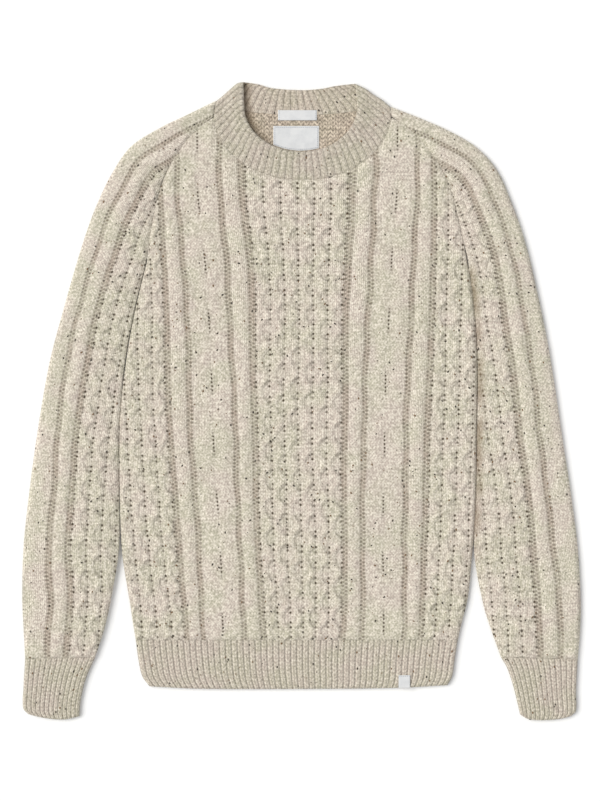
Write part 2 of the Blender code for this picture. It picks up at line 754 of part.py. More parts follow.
def ribs(shell, front, folds, ends):
    """Adds the front layer's outer side in rows of points from fold to fold. Every other point is on a rib."""
    sides = (front[0], front[2][::-1])
    upper = [sides[0][-1], *front[1], sides[1][-1]]
    lower = [sides[0][0], *front[3][::-1], sides[1][0]]
    rows = [[folds[0][0], *ends[1][::-1], folds[1][-1]]]
    for number, share in enumerate(RIB_ROWS[1:-1], 1):
        bends = [side[number] - side[0].lerp(side[-1], share) for side in sides]
        places, heights = [], []
        for column in range(1, len(lower) - 1):
            across = column / (len(lower) - 1)
            place = lower[column].lerp(upper[column], share) + bends[0].lerp(bends[1], across)
            near = min(reach(place, side) for side in sides)
            top = RIB_GROUND + (RIB if column % 2 == 1 else 0.0)
            places.append(place)
            heights.append(FOLD_HEIGHT + (top - FOLD_HEIGHT) * crown(near))
        rows.append([folds[0][number], *shell.add(places, heights), folds[1][-1 - number]])
    rows.append([folds[0][-1], *ends[0], folds[1][0]])
    for low, high in zip(rows, rows[1:]):
        for a, b, c, d in zip(low, low[1:], high[1:], high):
            shell.faces += [[a, b, c], [a, c, d]]


def ribbed_piece(name, rib_knit, front, back, coarse):
    """A ribbed tube, whose ribs are lowest where they meet a seam and where they end."""
    ends = [rib_heights(front[1], GROUND - SEAM_DIP), rib_heights(front[3], RIB_END)]
    folded_piece(name, rib_knit, front, back, ends, ribs, coarse=coarse)


def cuff(name, rib_knit, sizes):
    """A ribbed cuff below a sleeve."""
    inner = ribbed_fold(sizes["inner"])
    outer = ribbed_fold(sizes["outer"])
    top = ribbed_line([inner[-1], outer[0]], CUFF_RIBS)
    bottom = ribbed_line(smooth_line(sizes["bottom"], FINE_STEP), CUFF_RIBS)
    parts = wound([inner, top, outer, bottom])
    ribbed_piece(name, rib_knit, parts, parts, coarse=4)


def hem(rib_knit):
    """The ribbed hem below the front and the back."""
    minus_x = ribbed_fold(HEM_MINUS_X)
    plus_x = ribbed_fold(HEM_PLUS_X)
    top = ribbed_line([plus_x[-1], minus_x[0]], HEM_RIBS)
    bottom = ribbed_line(smooth_line(HEM_BOTTOM, FINE_STEP), HEM_RIBS)
    parts = wound([plus_x, top, minus_x, bottom])
    ribbed_piece("hem_band", rib_knit, parts, parts, coarse=12)


def neckband(rib_knit):
    """The crew neckband: its front lies over its back and the two are one at the shoulder folds."""
    minus_x = ribbed_fold(NECK_FOLD_MINUS_X[::-1])
    plus_x = ribbed_fold(NECK_FOLD_PLUS_X[::-1])
    low_minus_x, low_plus_x = neck_sides()
    seam = arc_line(NECK_SEAM, low_minus_x[0].x, low_plus_x[0].x, FINE_STEP)
    seam = [minus_x[0], *low_minus_x[-2:0:-1], *seam, *low_plus_x[1:-1], plus_x[-1]]
    reach_x = NECK_RIM["across"]
    rim = arc_line(NECK_RIM, NECK_RIM["x"] + reach_x, NECK_RIM["x"] - reach_x, FINE_STEP)
    rim = smooth_line([tuple(point) for point in [plus_x[0], *rim, minus_x[-1]]], FINE_STEP)
    front = [plus_x, ribbed_line(seam[::-1], NECK_RIBS), minus_x, ribbed_line(rim[::-1], NECK_RIBS)]
    back_seam = back_neck_seam()
    back_top = smooth_line(BACK_NECK_TOP[::-1], OUTLINE_STEP)
    back = [plus_x, back_seam[1:-1], minus_x, back_top[1:-1]]
    front, back = wound(front), wound(back)
    back[0], back[2] = front[0], front[2]
    ribbed_piece("neckband", rib_knit, front, back, coarse=3)


def strip_of_tape(name, tape, loop, low):
    """A flat piece of woven tape."""
    shell = Shell()
    under = shell.add(loop, [low] * len(loop))
    over = shell.add(loop, [low + TAPE] * len(loop))
    shell.cover(under)
    shell.cover(over)
    shell.strip(under + under[:1], over + over[:1])
    shell.finish(name, tape)


def rectangle(sizes):
    """A rectangle's corners, run anticlockwise."""
    corners = [(sizes["left"], sizes["bottom"]), (sizes["right"], sizes["bottom"])]
    corners += [(sizes["right"], sizes["top"]), (sizes["left"], sizes["top"])]
    return [Vector(corner) for corner in corners]


def labels(tape):
    """The two neck labels, on the inside of the back, and the tab on the hem."""
    rim = dict(NECK_RIM, across=NECK_RIM["across"] - NECK_LABEL["rim_gap"])
    rim["down"] -= NECK_LABEL["rim_gap"]
    bottom = arc_line(rim, NECK_LABEL["left"], NECK_LABEL["right"], 6.0)
    top = [Vector((NECK_LABEL["right"], NECK_LABEL["top"])), Vector((NECK_LABEL["left"], NECK_LABEL["top"]))]
    inside_back = BACK_TOP + TAPE_GAP
    strip_of_tape("neck_label", tape, [*bottom, *top], inside_back)
    strip_of_tape("small_label", tape, rectangle(SMALL_LABEL), inside_back)
    strip_of_tape("hem_tab", tape, rectangle(HEM_TAB), RIB_GROUND + RIB + TAPE_GAP)


def main():
    for thing in list(bpy.data.objects):
        bpy.data.objects.remove(thing)
    wool = paint("cream_tweed_wool", (0.60, 0.53, 0.43), 0.95)
    rib_knit = paint("ribbed_wool", (0.54, 0.47, 0.38), 0.95)
    tape = paint("white_woven_tape", (0.82, 0.82, 0.80), 0.8)
    body_panels(wool)
    hem(rib_knit)
    sleeve("sleeve_right", wool, SLEEVE_MINUS_X, -1)
    sleeve("sleeve_left", wool, SLEEVE_PLUS_X, 1)
    cuff("cuff_right", rib_knit, CUFF_MINUS_X)
    cuff("cuff_left", rib_knit, CUFF_PLUS_X)
    neckband(rib_knit)
    labels(tape)


main()
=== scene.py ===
import math
from functools import partial

import bmesh
import bpy
import numpy as np
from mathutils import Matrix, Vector
from mathutils.geometry import tessellate_polygon


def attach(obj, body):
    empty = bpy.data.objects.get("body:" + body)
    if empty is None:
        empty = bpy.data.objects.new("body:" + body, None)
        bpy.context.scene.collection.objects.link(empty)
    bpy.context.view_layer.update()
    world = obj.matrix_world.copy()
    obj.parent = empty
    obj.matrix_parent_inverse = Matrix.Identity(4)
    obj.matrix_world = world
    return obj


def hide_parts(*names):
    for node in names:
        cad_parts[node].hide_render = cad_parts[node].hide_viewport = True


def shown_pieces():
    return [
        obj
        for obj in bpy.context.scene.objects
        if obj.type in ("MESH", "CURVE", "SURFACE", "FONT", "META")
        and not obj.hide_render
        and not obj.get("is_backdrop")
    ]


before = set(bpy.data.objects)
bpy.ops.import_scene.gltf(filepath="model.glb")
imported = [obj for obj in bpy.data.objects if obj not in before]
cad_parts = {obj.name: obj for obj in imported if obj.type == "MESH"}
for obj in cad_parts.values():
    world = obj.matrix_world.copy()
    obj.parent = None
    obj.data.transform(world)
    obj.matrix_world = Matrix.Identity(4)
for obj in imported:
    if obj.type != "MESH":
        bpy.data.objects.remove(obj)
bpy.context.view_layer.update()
mm = 0.001

# How the two layers of cloth lie, and how their edges turn.
layers = {
    "backTop": 3.6,
    "frontUnder": 3.9,
    "foldHeight": 3.75,
    "foldWall": 4.0,
    "foldRound": 4.5,
    "sharpFold": 6.0,
    "pressedFold": 1.6,
    "pressedFrom": -240,
    "pressedTo": -215,
    "softFold": 0.4,
    "shadowReach": 12.0,
    "ground": 7.0,
    "underGround": 1.3,
    "seamGap": 0.14,
    "seamDip": 0.1,
    "seamRound": 2.4,
    "seamFade": 4.5,
    "lip": 0.5,
}

# The knit: stitches are counted from the centre line, rows from a row of cable crossings.
knit = {
    "row": 4.42,
    "firstCrossing": 22.0,
    "stitch": 4.2,
    "purlLoop": (6.2, 4.9),
    "cable": 2.6,
    "ringMiddle": 26,
    "ringHalf": 6,
    "ringRepeat": 16,
    "ringPinch": 0.09,
    "warpReach": 14,
    "crossingEvery": 4,
    "honeycombStart": 40,
}


def readTable(rows, at):
    # the table's other columns at any places, on smooth curves through its rows
    t = np.array(sorted(map(tuple, rows)), float)
    at = np.clip(np.atleast_1d(np.asarray(at, float)), t[0, 0], t[-1, 0])
    i = np.clip(np.searchsorted(t[:, 0], at, side="right") - 1, 0, len(t) - 2)
    a, b = t[i], t[i + 1]
    before, after = t[np.maximum(i - 1, 0)], t[np.minimum(i + 2, len(t) - 1)]
    span = (b - a)[:, :1]
    s = ((at - a[:, 0]) / span[:, 0])[:, None]
    slope = (b - before)[:, 1:] / (b - before)[:, :1] * span
    nextSlope = (after - a)[:, 1:] / (after - a)[:, :1] * span
    return ((2 * s**3 - 3 * s**2 + 1) * a[:, 1:] + (s**3 - 2 * s**2 + s) * slope
            + (3 * s**2 - 2 * s**3) * b[:, 1:] + (s**3 - s**2) * nextSlope)


def runningLength(points):
    return np.concatenate([[0], np.cumsum(np.linalg.norm(np.diff(points, axis=0), axis=1))])


def along(points, shares):
    # places at shares of a line's length
    points = np.asarray(points, float)
    gone = runningLength(points)
    return np.stack([np.interp(np.asarray(shares) * gone[-1], gone, points[:, k])
                     for k in range(points.shape[1])], axis=-1)


def smoothLine(points, count=160):
    points = np.asarray(points, float)
    rows = np.column_stack([runningLength(points), points])
    return readTable(rows, np.linspace(0, rows[-1, 0], count))


def reach(points, line):
    # distance on the plan from many points to one line
    best = np.full(points.shape[:-1], 1e9)
    for a, b in zip(line[:-1], line[1:]):
        run = b - a
        share = np.clip(((points - a) @ run) / max(run @ run, 1e-12), 0, 1)
        best = np.minimum(best, np.linalg.norm(points - a - share[..., None] * run, axis=-1))
    return best


def crown(distance, size=None):
    # from 0 at a folded edge to 1 where the cloth has turned flat
    size = size or layers["foldRound"]
    return np.sqrt(1 - (1 - np.clip(distance / size, 0, 1)) ** 2)


def step(low, high, value):
    t = np.clip((value - low) / (high - low), 0, 1)
    return t * t * (3 - 2 * t)


def wander(places, size, seed):
    # a smooth random field on the plan, about -1 to 1, whose hills are about this size
    random = np.random.default_rng(seed)
    total = np.zeros(places.shape[:-1])
    for _ in range(7):
        angle, phase, stretch = random.uniform((0, 0, 0.7), (2 * np.pi, 2 * np.pi, 1.7))
        run = places[..., 0] * np.cos(angle) + places[..., 1] * np.sin(angle)
        total += np.sin(np.pi * run / (size * stretch) + phase)
    return total / 2.6


# How far stitches, rows and heights stray from a machine's evenness.
handKnit = {
    "stitchStray": 0.20,
    "rowStray": 0.45,
    "strayOver": 45.0,
    "puffStray": 0.16,
    "puffOver": 11.0,
    "wave": 0.7,
    "waveOver": 60.0,
}


def strayed(stitches, places):
    over = handKnit["strayOver"]
    stitches[..., 0] += handKnit["stitchStray"] * wander(places, over, 3)
    stitches[..., 1] += handKnit["rowStray"] * wander(places, over * 1.3, 4)
    return stitches


def handRelief(stitches, places):
    # the cables' height at each place, some puffier and some flatter than the rest
    puff = 1 + handKnit["puffStray"] * wander(places, handKnit["puffOver"], 5)
    return np.minimum(relief(stitches[..., 0], stitches[..., 1]) * puff, knit["cable"])


# The strands of the cables: places as shares of a cable's width, heights as shares of knit["cable"].
cables = {
    "strandHalf": 0.30,
    "strandSwing": 0.24,
    "swingSharpness": 1.4,
    "underStrand": 0.5,
    "ladder": 0.22,
    "ladderFloor": 0.18,
    "ropeHeight": 0.85,
    "ropeGroove": 0.75,
    "ringHeight": 0.6,
    "ringStrand": 0.44,
    "ringCrossed": 0.27,
    "ringOpened": 0.54,
}


def ringOpening(row):
    return 0.5 + 0.5 * np.cos(2 * np.pi * row / knit["ringRepeat"])


def drawnIn(stitch, row):
    # the cloth is drawn towards a ring cable where its strands cross
    pinch = knit["ringPinch"] * (1 - ringOpening(row))
    off = stitch - knit["ringMiddle"]
    half, far = knit["ringHalf"], knit["warpReach"]
    inside = off * (1 - pinch)
    beside = off - np.sign(off) * half * pinch * np.clip((far - abs(off)) / (far - half), 0, 1)
    return knit["ringMiddle"] + np.where(abs(off) <= half, inside, beside)


def mound(offset):
    return np.sqrt(np.clip(1 - offset * offset, 0, 1))


def honeycombRelief(stitch, turn):
    # one strand of each column zigzags on top, the other runs under it the opposite way
    start = np.where(stitch < 12, 0, knit["honeycombStart"])
    column, place = np.divmod((stitch - start) / 4, 1)
    swing = np.clip(cables["swingSharpness"] * np.cos(np.pi * (turn + column + 0.5)), -1, 1)
    crossing = np.cos(np.pi * turn) ** 2
    over = mound((place - 0.5 - cables["strandSwing"] * swing) / cables["strandHalf"])
    under = mound((place - 0.5 + cables["strandSwing"] * swing) / cables["strandHalf"])
    above = over * (0.74 + 0.26 * crossing)
    return np.maximum(above, under * cables["underStrand"] * (1 - 0.5 * crossing))


def ropeRelief(across, turn):
    # oval strands that lie slantwise over each other
    lay = np.divmod(turn + 0.55 * across, 1)[1]
    strand = mound(2 * lay - 1) ** 0.8
    return cables["ropeHeight"] * mound(2 * across - 1) ** 0.8 * (1 - cables["ropeGroove"] * (1 - strand))


def ringRelief(off, row):
    # two bowed strands that part round a slit and cross
    opening = ringOpening(row)
    middle = cables["ringCrossed"] + (cables["ringOpened"] - cables["ringCrossed"]) * opening
    strand = mound((abs(off) - middle) / cables["ringStrand"]) ** 0.8
    fromCrossing = np.mod(row, knit["ringRepeat"]) - knit["ringRepeat"] / 2
    groove = np.exp(-((off - 0.22 * fromCrossing) / 0.15) ** 2 - (fromCrossing / 3.0) ** 2)
    return cables["ringHeight"] * strand * (1 - 0.55 * groove)


def relief(stitch, row):
    # how far the cables stand above the plain ground, in millimetres
    stitch = abs(stitch)
    turn = row / knit["crossingEvery"]
    fromRing = abs(stitch - knit["ringMiddle"])
    rope = ropeRelief((fromRing - 8) / 4, turn)
    ring = ringRelief((stitch - knit["ringMiddle"]) / knit["ringHalf"], row)
    height = np.where(fromRing > 14, honeycombRelief(stitch, turn), 0)
    height = np.where(abs(fromRing - 10) < 2, rope, height)
    height = np.where(fromRing < 6, ring, height)
    # the ladders between the cables are drawn up to about a third of their height
    fromLadder = abs(abs(fromRing - 10) - 3)
    drawnUp = cables["ladder"] * step(0, 1.2, fromLadder) + cables["ladderFloor"]
    return knit["cable"] * np.where(fromRing > 14, height, np.maximum(height, drawnUp))


# The body's knit, laid on guides that were read one by one.
bodyKnit = {
    "guideStitches": (0, 13, 19, 26, 33, 39, 44),
    "guides": (
        # y, centre line, ladder, ladder, ring cable, ladder, ladder, side honeycomb
        (-280, 2, 47, 68, 93, 117, 136, 153),
        (-256, 2, 48, 69, 94, 119, 138, 155),
        (-34, -3, 53, 74.5, 100, 126.5, 150, 169),
        (142, -3, 56, 82, 107.5, 134.5, 157, 173),
        (247, -5, 65, 89.5, 116, 141, 160, 178),
        (340, -5, 66, 90, 117, 142, 161, 179),
    ),
    "edges": (
        # y, -X edge, +X edge, from the hem to the underarms
        (-280, -194, 183), (-262, -197, 187), (-229, -202, 195), (-182, -209.5, 199.5),
        (-139, -212, 203), (-92, -213, 204.5), (-34, -213, 205), (0, -211, 205.5),
        (48, -205, 205.5), (95, -197, 203.5), (141, -186.5, 198.5), (162, -181, 194),
    ),
    "raglans": (
        # y, -X seam, +X seam, from the underarms to the neckband
        (162, -181, 194), (190, -178, 188.5), (213, -174, 183.5), (236, -169, 178),
        (257, -162.5, 171), (277, -153, 161), (295, -141.5, 149.5), (308, -131.5, 138),
        (321, -118.5, 122.5), (332, -102.8, 104.8),
    ),
    "neckSides": ((332, -102.8, 104.8), (344, -101, 104.5), (351, -100, 104.4)),
    "bottom": -280,
    "underarm": 162,
    "frontTop": 332,
    "backTop": 350.5,
    "columns": 300,
    "rows": 276,
    "backColumns": 200,
    "backRows": 210,
}

neckLines = {
    "seam": {"x": 1, "y": 337, "across": 104, "down": 78.4},
    "rim": {"x": -1, "y": 345, "across": 66, "down": 53.4},
    "foldMinusX": ((-68, 373.5), (-75, 372), (-83, 365.5), (-92, 357.5), (-100, 351)),
    "foldPlusX": ((63, 371.5), (76, 365), (84, 359), (93, 353.5), (104.5, 344)),
    "backTop": ((63, 371.5), (39, 368.6), (24, 365.6), (0, 364),
                (-35, 366.3), (-50, 370.5), (-68, 373.5)),
    "backSeam": ((104.5, 344), (72, 340.8), (40, 336.5), (0, 334.6),
                 (-40, 336.5), (-72, 340.8), (-100, 351)),
    "paintedFoldShade": ((-68, 373), (-67, 345), (-62, 325), (-52, 310), (-38, 300)),
    "paintedFoldShadeFrom": 2.0,
    "paintedFoldShadeTo": 13.0,
}


def paintedFoldShade(places):
    # 1 in the fold where the neckband's rim curls over, at the wearer's right, and 0 away from it; the
    # inside dips there, and the same share paints the fold's shade into the wool's colour
    line = np.array(neckLines["paintedFoldShade"], float)
    paintedDeepShade = 1 - step(neckLines["paintedFoldShadeFrom"], neckLines["paintedFoldShadeTo"], reach(places, line))
    return paintedDeepShade * (0.25 + 0.75 * step(298, 326, places[..., 1]))


def pressed(y):
    # the sleeve on the wearer's right is pressed against the body, so that both folds stand tall there
    return layers["pressedFold"] * step(layers["pressedFrom"], layers["pressedTo"], y)


def sideEdges(y):
    # the body's two sides at any height: folded up to the underarms, then sewn to the sleeves
    y = np.asarray(y, float)
    low = readTable(bodyKnit["edges"], y)
    middle = readTable(bodyKnit["raglans"], y)
    high = readTable(bodyKnit["neckSides"], y)
    side = np.where((y < bodyKnit["underarm"])[:, None], low, middle)
    side = np.where((y > bodyKnit["frontTop"])[:, None], high, side)
    return side + np.array([1, -1]) * layers["seamGap"] / 2


def bodyStitches(places):
    # the stitch and row at places whose y is the same all along each row of the array
    found = np.empty(places.shape)
    counted = np.arange(0, 61, 0.25)
    for number, y in enumerate(places[:, 0, 1]):
        row = (y - knit["firstCrossing"]) / knit["row"]
        centre, *guides = readTable(bodyKnit["guides"], y)[0]
        laid = drawnIn(counted, row)
        last = bodyKnit["guideStitches"][-1]
        guideRows = list(zip(bodyKnit["guideStitches"], [0, *guides]))
        distance = np.where(laid <= last, readTable(guideRows, laid)[:, 0],
                            guides[-1] + (laid - last) * knit["stitch"])
        off = places[number, :, 0] - centre
        found[number, :, 0] = np.sign(off) * np.interp(abs(off), distance, counted)
        found[number, :, 1] = row
    return found


def neckCurve(ellipse, x):
    off = np.clip((x - ellipse["x"]) / ellipse["across"], -1, 1)
    return ellipse["y"] - ellipse["down"] * np.sqrt(1 - off * off)


def bodyGrid(top, neck, columns, rows):
    # a grid of places from the hem to the neck, whose columns end on the neck's line
    y = np.linspace(bodyKnit["bottom"] + layers["seamGap"] / 2, top, rows)
    sides = sideEdges(y)
    share = np.linspace(0, 1, columns)
    x = sides[:, :1] + (sides[:, 1:] - sides[:, :1]) * share
    places = np.stack([x, np.repeat(y[:, None], columns, 1)], -1)
    past = places[..., 1] - neck(places[..., 0])
    last = np.where((past > 0).any(0), np.argmax(past > 0, 0), rows - 1)
    index = np.arange(rows * columns).reshape(rows, columns)
    stitches = bodyStitches(places)
    for k, j in enumerate(last):
        if past[j, k] > 0:
            part = past[j - 1, k] / (past[j - 1, k] - past[j, k])
            for values in (places, stitches):
                values[j, k] = values[j - 1, k] + (values[j, k] - values[j - 1, k]) * part
        index[j:, k] = index[j, k]
    stitches = strayed(stitches, places)
    loop = [*index[0], *index[1:last[-1], -1], *[index[last[k], k] for k in range(columns - 1, -1, -1)],
            *index[last[0] - 1:0:-1, 0]]
    return places.reshape(-1, 2), stitches.reshape(-1, 2), index, loop


def gridFaces(index):
    # quads between rows of point numbers, or triangles where a column has ended
    corners = index[:-1, :-1], index[:-1, 1:], index[1:, 1:], index[1:, :-1]
    a, b, c, d = (corner.ravel() for corner in corners)
    faces = []
    for p, q, r, s in zip(a.tolist(), b.tolist(), c.tolist(), d.tolist()):
        corners = list(dict.fromkeys((p, q, r, s)))
        if len(corners) > 2:
            faces.append(corners)
    return faces


def ringFaces(first, second):
    # quads between two closed loops with as many points
    return [[a, b, d, c] for a, b, c, d in
            zip(first, np.roll(first, -1).tolist(), second, np.roll(second, -1).tolist())]


def addObject(name, data):
    thing = bpy.data.objects.new(name, data)
    bpy.context.scene.collection.objects.link(thing)
    return thing


def makePiece(name, points, faces, uv, values, materials, inner=()):
    # one closed mesh in metres, with its stitches as a UV map and its shading values as attributes
    used = np.unique(np.concatenate([np.ravel(face) for face in faces]))
    renumber = np.full(len(points), -1)
    renumber[used] = np.arange(len(used))
    data = bpy.data.meshes.new(name)
    data.from_pydata((points[used] * mm).tolist(), [], [renumber[face].tolist() for face in faces])
    mesh = bmesh.new()
    mesh.from_mesh(data)
    bmesh.ops.recalc_face_normals(mesh, faces=mesh.faces)
    mesh.to_mesh(data)
    mesh.free()
    corners = np.empty(len(data.loops), np.int32)
    data.loops.foreach_get("vertex_index", corners)
    layer = data.uv_layers.new(name="stitches")
    layer.uv.foreach_set("vector", uv[used][corners].astype(np.float32).ravel())
    for key, value in values.items():
        attribute = data.attributes.new(key, "FLOAT", "POINT")
        attribute.data.foreach_set("value", value[used].astype(np.float32))
    for material in materials:
        data.materials.append(material)
    if len(inner):
        slots = np.zeros(len(data.polygons), np.int32)
        slots[list(inner)] = 1
        data.polygons.foreach_set("material_index", slots)
    data.shade_smooth()
    data.set_sharp_from_angle(angle=math.radians(70))
    return addObject(name, data)


def closeUnder(points, loop, height):
    # the other side of a layer: its outline at one height, filled
    under = points[loop].copy()
    under[:, 2] = height
    first = len(points)
    numbers = list(range(first, first + len(loop)))
    flat = [Vector(place) for place in under]
    fill = [[numbers[corner] for corner in triangle] for triangle in tessellate_polygon([flat])]
    return np.vstack([points, under]), numbers, fill


def bodyLayer(name, materials, outward):
    # the front with its cables up, or the back with its cables down and its inside seen at the neck
    front = outward > 0
    gap = layers["seamGap"] / 2
    if front:
        neck = lambda x: neckCurve(neckLines["seam"], x) - gap
        sizes = bodyKnit["frontTop"], neck, bodyKnit["columns"], bodyKnit["rows"]
    else:
        neck = lambda x: readTable(neckLines["backSeam"], x.ravel())[:, 0].reshape(x.shape) - gap
        sizes = bodyKnit["backTop"], neck, bodyKnit["backColumns"], bodyKnit["backRows"]
    places, stitches, index, loop = bodyGrid(*sizes)
    y = np.linspace(bodyKnit["bottom"], bodyKnit["underarm"], 60)
    folds = [np.column_stack([sideEdges(y)[:, k], y]) for k in (0, 1)]
    toFold = np.minimum(reach(places, folds[0]) * layers["sharpFold"] + pressed(places[:, 1]),
                        reach(places, folds[1]))
    outline = places[loop + loop[:1]][::3]
    toEdge = reach(places, outline)
    raised = handRelief(stitches, places) * np.clip(toEdge / layers["seamFade"], 0, 1)
    sewn = layers["seamDip"] * (1 - crown(toEdge, layers["seamRound"])) * (toFold > toEdge + 0.5)
    if front:
        low = layers["frontUnder"] + layers["lip"]
        wave = handKnit["wave"] * wander(places, handKnit["waveOver"], 6) * step(0, 40, toEdge)
        height = low + (layers["ground"] + raised + wave - sewn - low) * crown(toFold)
    else:
        low = layers["backTop"] - layers["lip"]
        outside = layers["underGround"] * (1 - raised / knit["cable"]) + 0.4 * sewn
        height = low + (outside - low) * crown(toFold)
    points = np.column_stack([places, height])
    # how low the relief lies, used to paint shade into the wool's colour where the cables lie low
    valley = 1 - raised / knit["cable"]
    faces = gridFaces(index)
    if front:
        points, under, fill = closeUnder(points, np.array(loop), layers["frontUnder"])
        faces += ringFaces(loop, under) + fill
        uv = np.vstack([stitches, stitches[loop]])
        values = {"valley": np.append(valley, np.zeros(len(under)))}
        return makePiece(name, points, faces, uv, values, materials)
    # the inside of the back is a grid of its own, because its purl side shows at the neck
    shift = len(points)
    # the fold at the neckband's rim: the inside dips there, and the same share paints its shade into the
    # colour
    dark = paintedFoldShade(places)
    within = np.column_stack([places, layers["backTop"] - ribbing["neck"]["hollow"] * dark])
    faces += ringFaces(loop, [number + shift for number in loop])
    first = len(faces)
    faces += gridFaces(index + shift)
    uv = np.vstack([stitches, places / knit["purlLoop"]])
    values = {"valley": np.append(valley, 0 * valley), "paintedFoldShade": np.append(0 * dark, dark)}
    return makePiece(name, np.vstack([points, within]), faces, uv, values, materials,
                     range(first, len(faces)))


# The sleeves: lines across each, and the ladders' distances from its outer fold.
sleeveKnit = {
    "foldStitch": 0.8,
    "outerLadder": 7,
    "innerLadder": 13,
    "frontColumns": 84,
    "backColumns": 44,
    "rows": 300,
    "innerRows": 24,
    "puff": 2.6,
    "puffArmhole": 70,
    "puffCuff": 30,
    "puffFold": 38,
    "minusX": (
        # outer x, outer y, inner x, inner y, ladder, ladder
        (-100, 351.5, -103, 333, 18, 40), (-133, 335.5, -130, 309.5, 18, 40),
        (-166, 319.5, -151, 280, 18.5, 40), (-200, 297.5, -163, 257, 19, 40),
        (-223, 264.5, -169, 236, 19, 40), (-240, 229, -174.5, 211, 19, 40),
        (-252, 197, -178, 187, 19, 40), (-261.5, 167, -182, 162, 19.5, 41),
        (-276.5, 115, -194, 112, 18.5, 40), (-295, 45, -207, 42, 21, 44),
        (-309.5, -39, -213.3, -40, 26, 46.5), (-319, -109, -213.3, -109, 31.5, 50),
        (-325.5, -172, -213.5, -172, 32, 52), (-327, -230, -222.5, -230, 35, 56),
        (-325.5, -266, -230.5, -266, 31, 51), (-323.5, -302, -241.5, -300, 27, 46.5),
    ),
    "plusX": (
        (104.5, 344.5, 105, 333, 18, 40), (139, 331, 133, 312, 18, 40),
        (176, 314.5, 158, 281, 18.5, 40), (206, 296, 171, 257, 19, 40),
        (229, 270, 178, 236, 19, 40), (246.5, 231, 184, 211, 19, 40),
        (258, 199, 188.5, 190, 20, 40), (268.5, 161.5, 195, 162, 21, 40),
        (286.5, 78, 204.6, 78, 24.5, 46), (295.5, 25, 206, 25, 25, 47),
        (305.5, -43, 205.2, -43, 27.5, 49.5), (315.5, -109, 204.2, -109, 29, 50),
        (323.5, -172, 202, -175, 30.5, 52.5), (327, -235, 212, -235, 26.5, 50),
        (326, -272, 222, -268, 24, 47), (323.5, -302, 233.5, -300, 21, 43.5),
    ),
}


def makeTube(name, outer, inner, uv, innerUv, values, materials):
    # an outer and an inner surface, closed round each row and joined at the two open ends
    rows, count = outer.shape[:2]
    points = np.vstack([outer.reshape(-1, 3), inner.reshape(-1, 3)])
    index = np.arange(rows * count).reshape(rows, count)
    innerIndex = rows * count + np.arange(inner.shape[0] * count).reshape(-1, count)
    faces = gridFaces(np.column_stack([index, index[:, 0]]))
    faces += gridFaces(np.column_stack([innerIndex, innerIndex[:, 0]]))
    faces += ringFaces(index[0].tolist(), innerIndex[0].tolist())
    faces += ringFaces(index[-1].tolist(), innerIndex[-1].tolist())
    allUv = np.vstack([uv.reshape(-1, 2), innerUv.reshape(-1, 2)])
    filled = {key: np.append(*[np.broadcast_to(value, side.shape[:2])
                               for value, side in zip(pair, (outer, inner))])
              for key, pair in values.items()}
    return makePiece(name, points, faces, allUv, filled, materials)


def sleeveSections(table):
    rows = np.array(table, float)
    outer, inner = rows[:, :2], rows[:, 2:4]
    into = (inner - outer) / np.linalg.norm(inner - outer, axis=1)[:, None]
    ladder = outer + into * rows[:, 4:5]
    return np.column_stack([runningLength(ladder), rows])


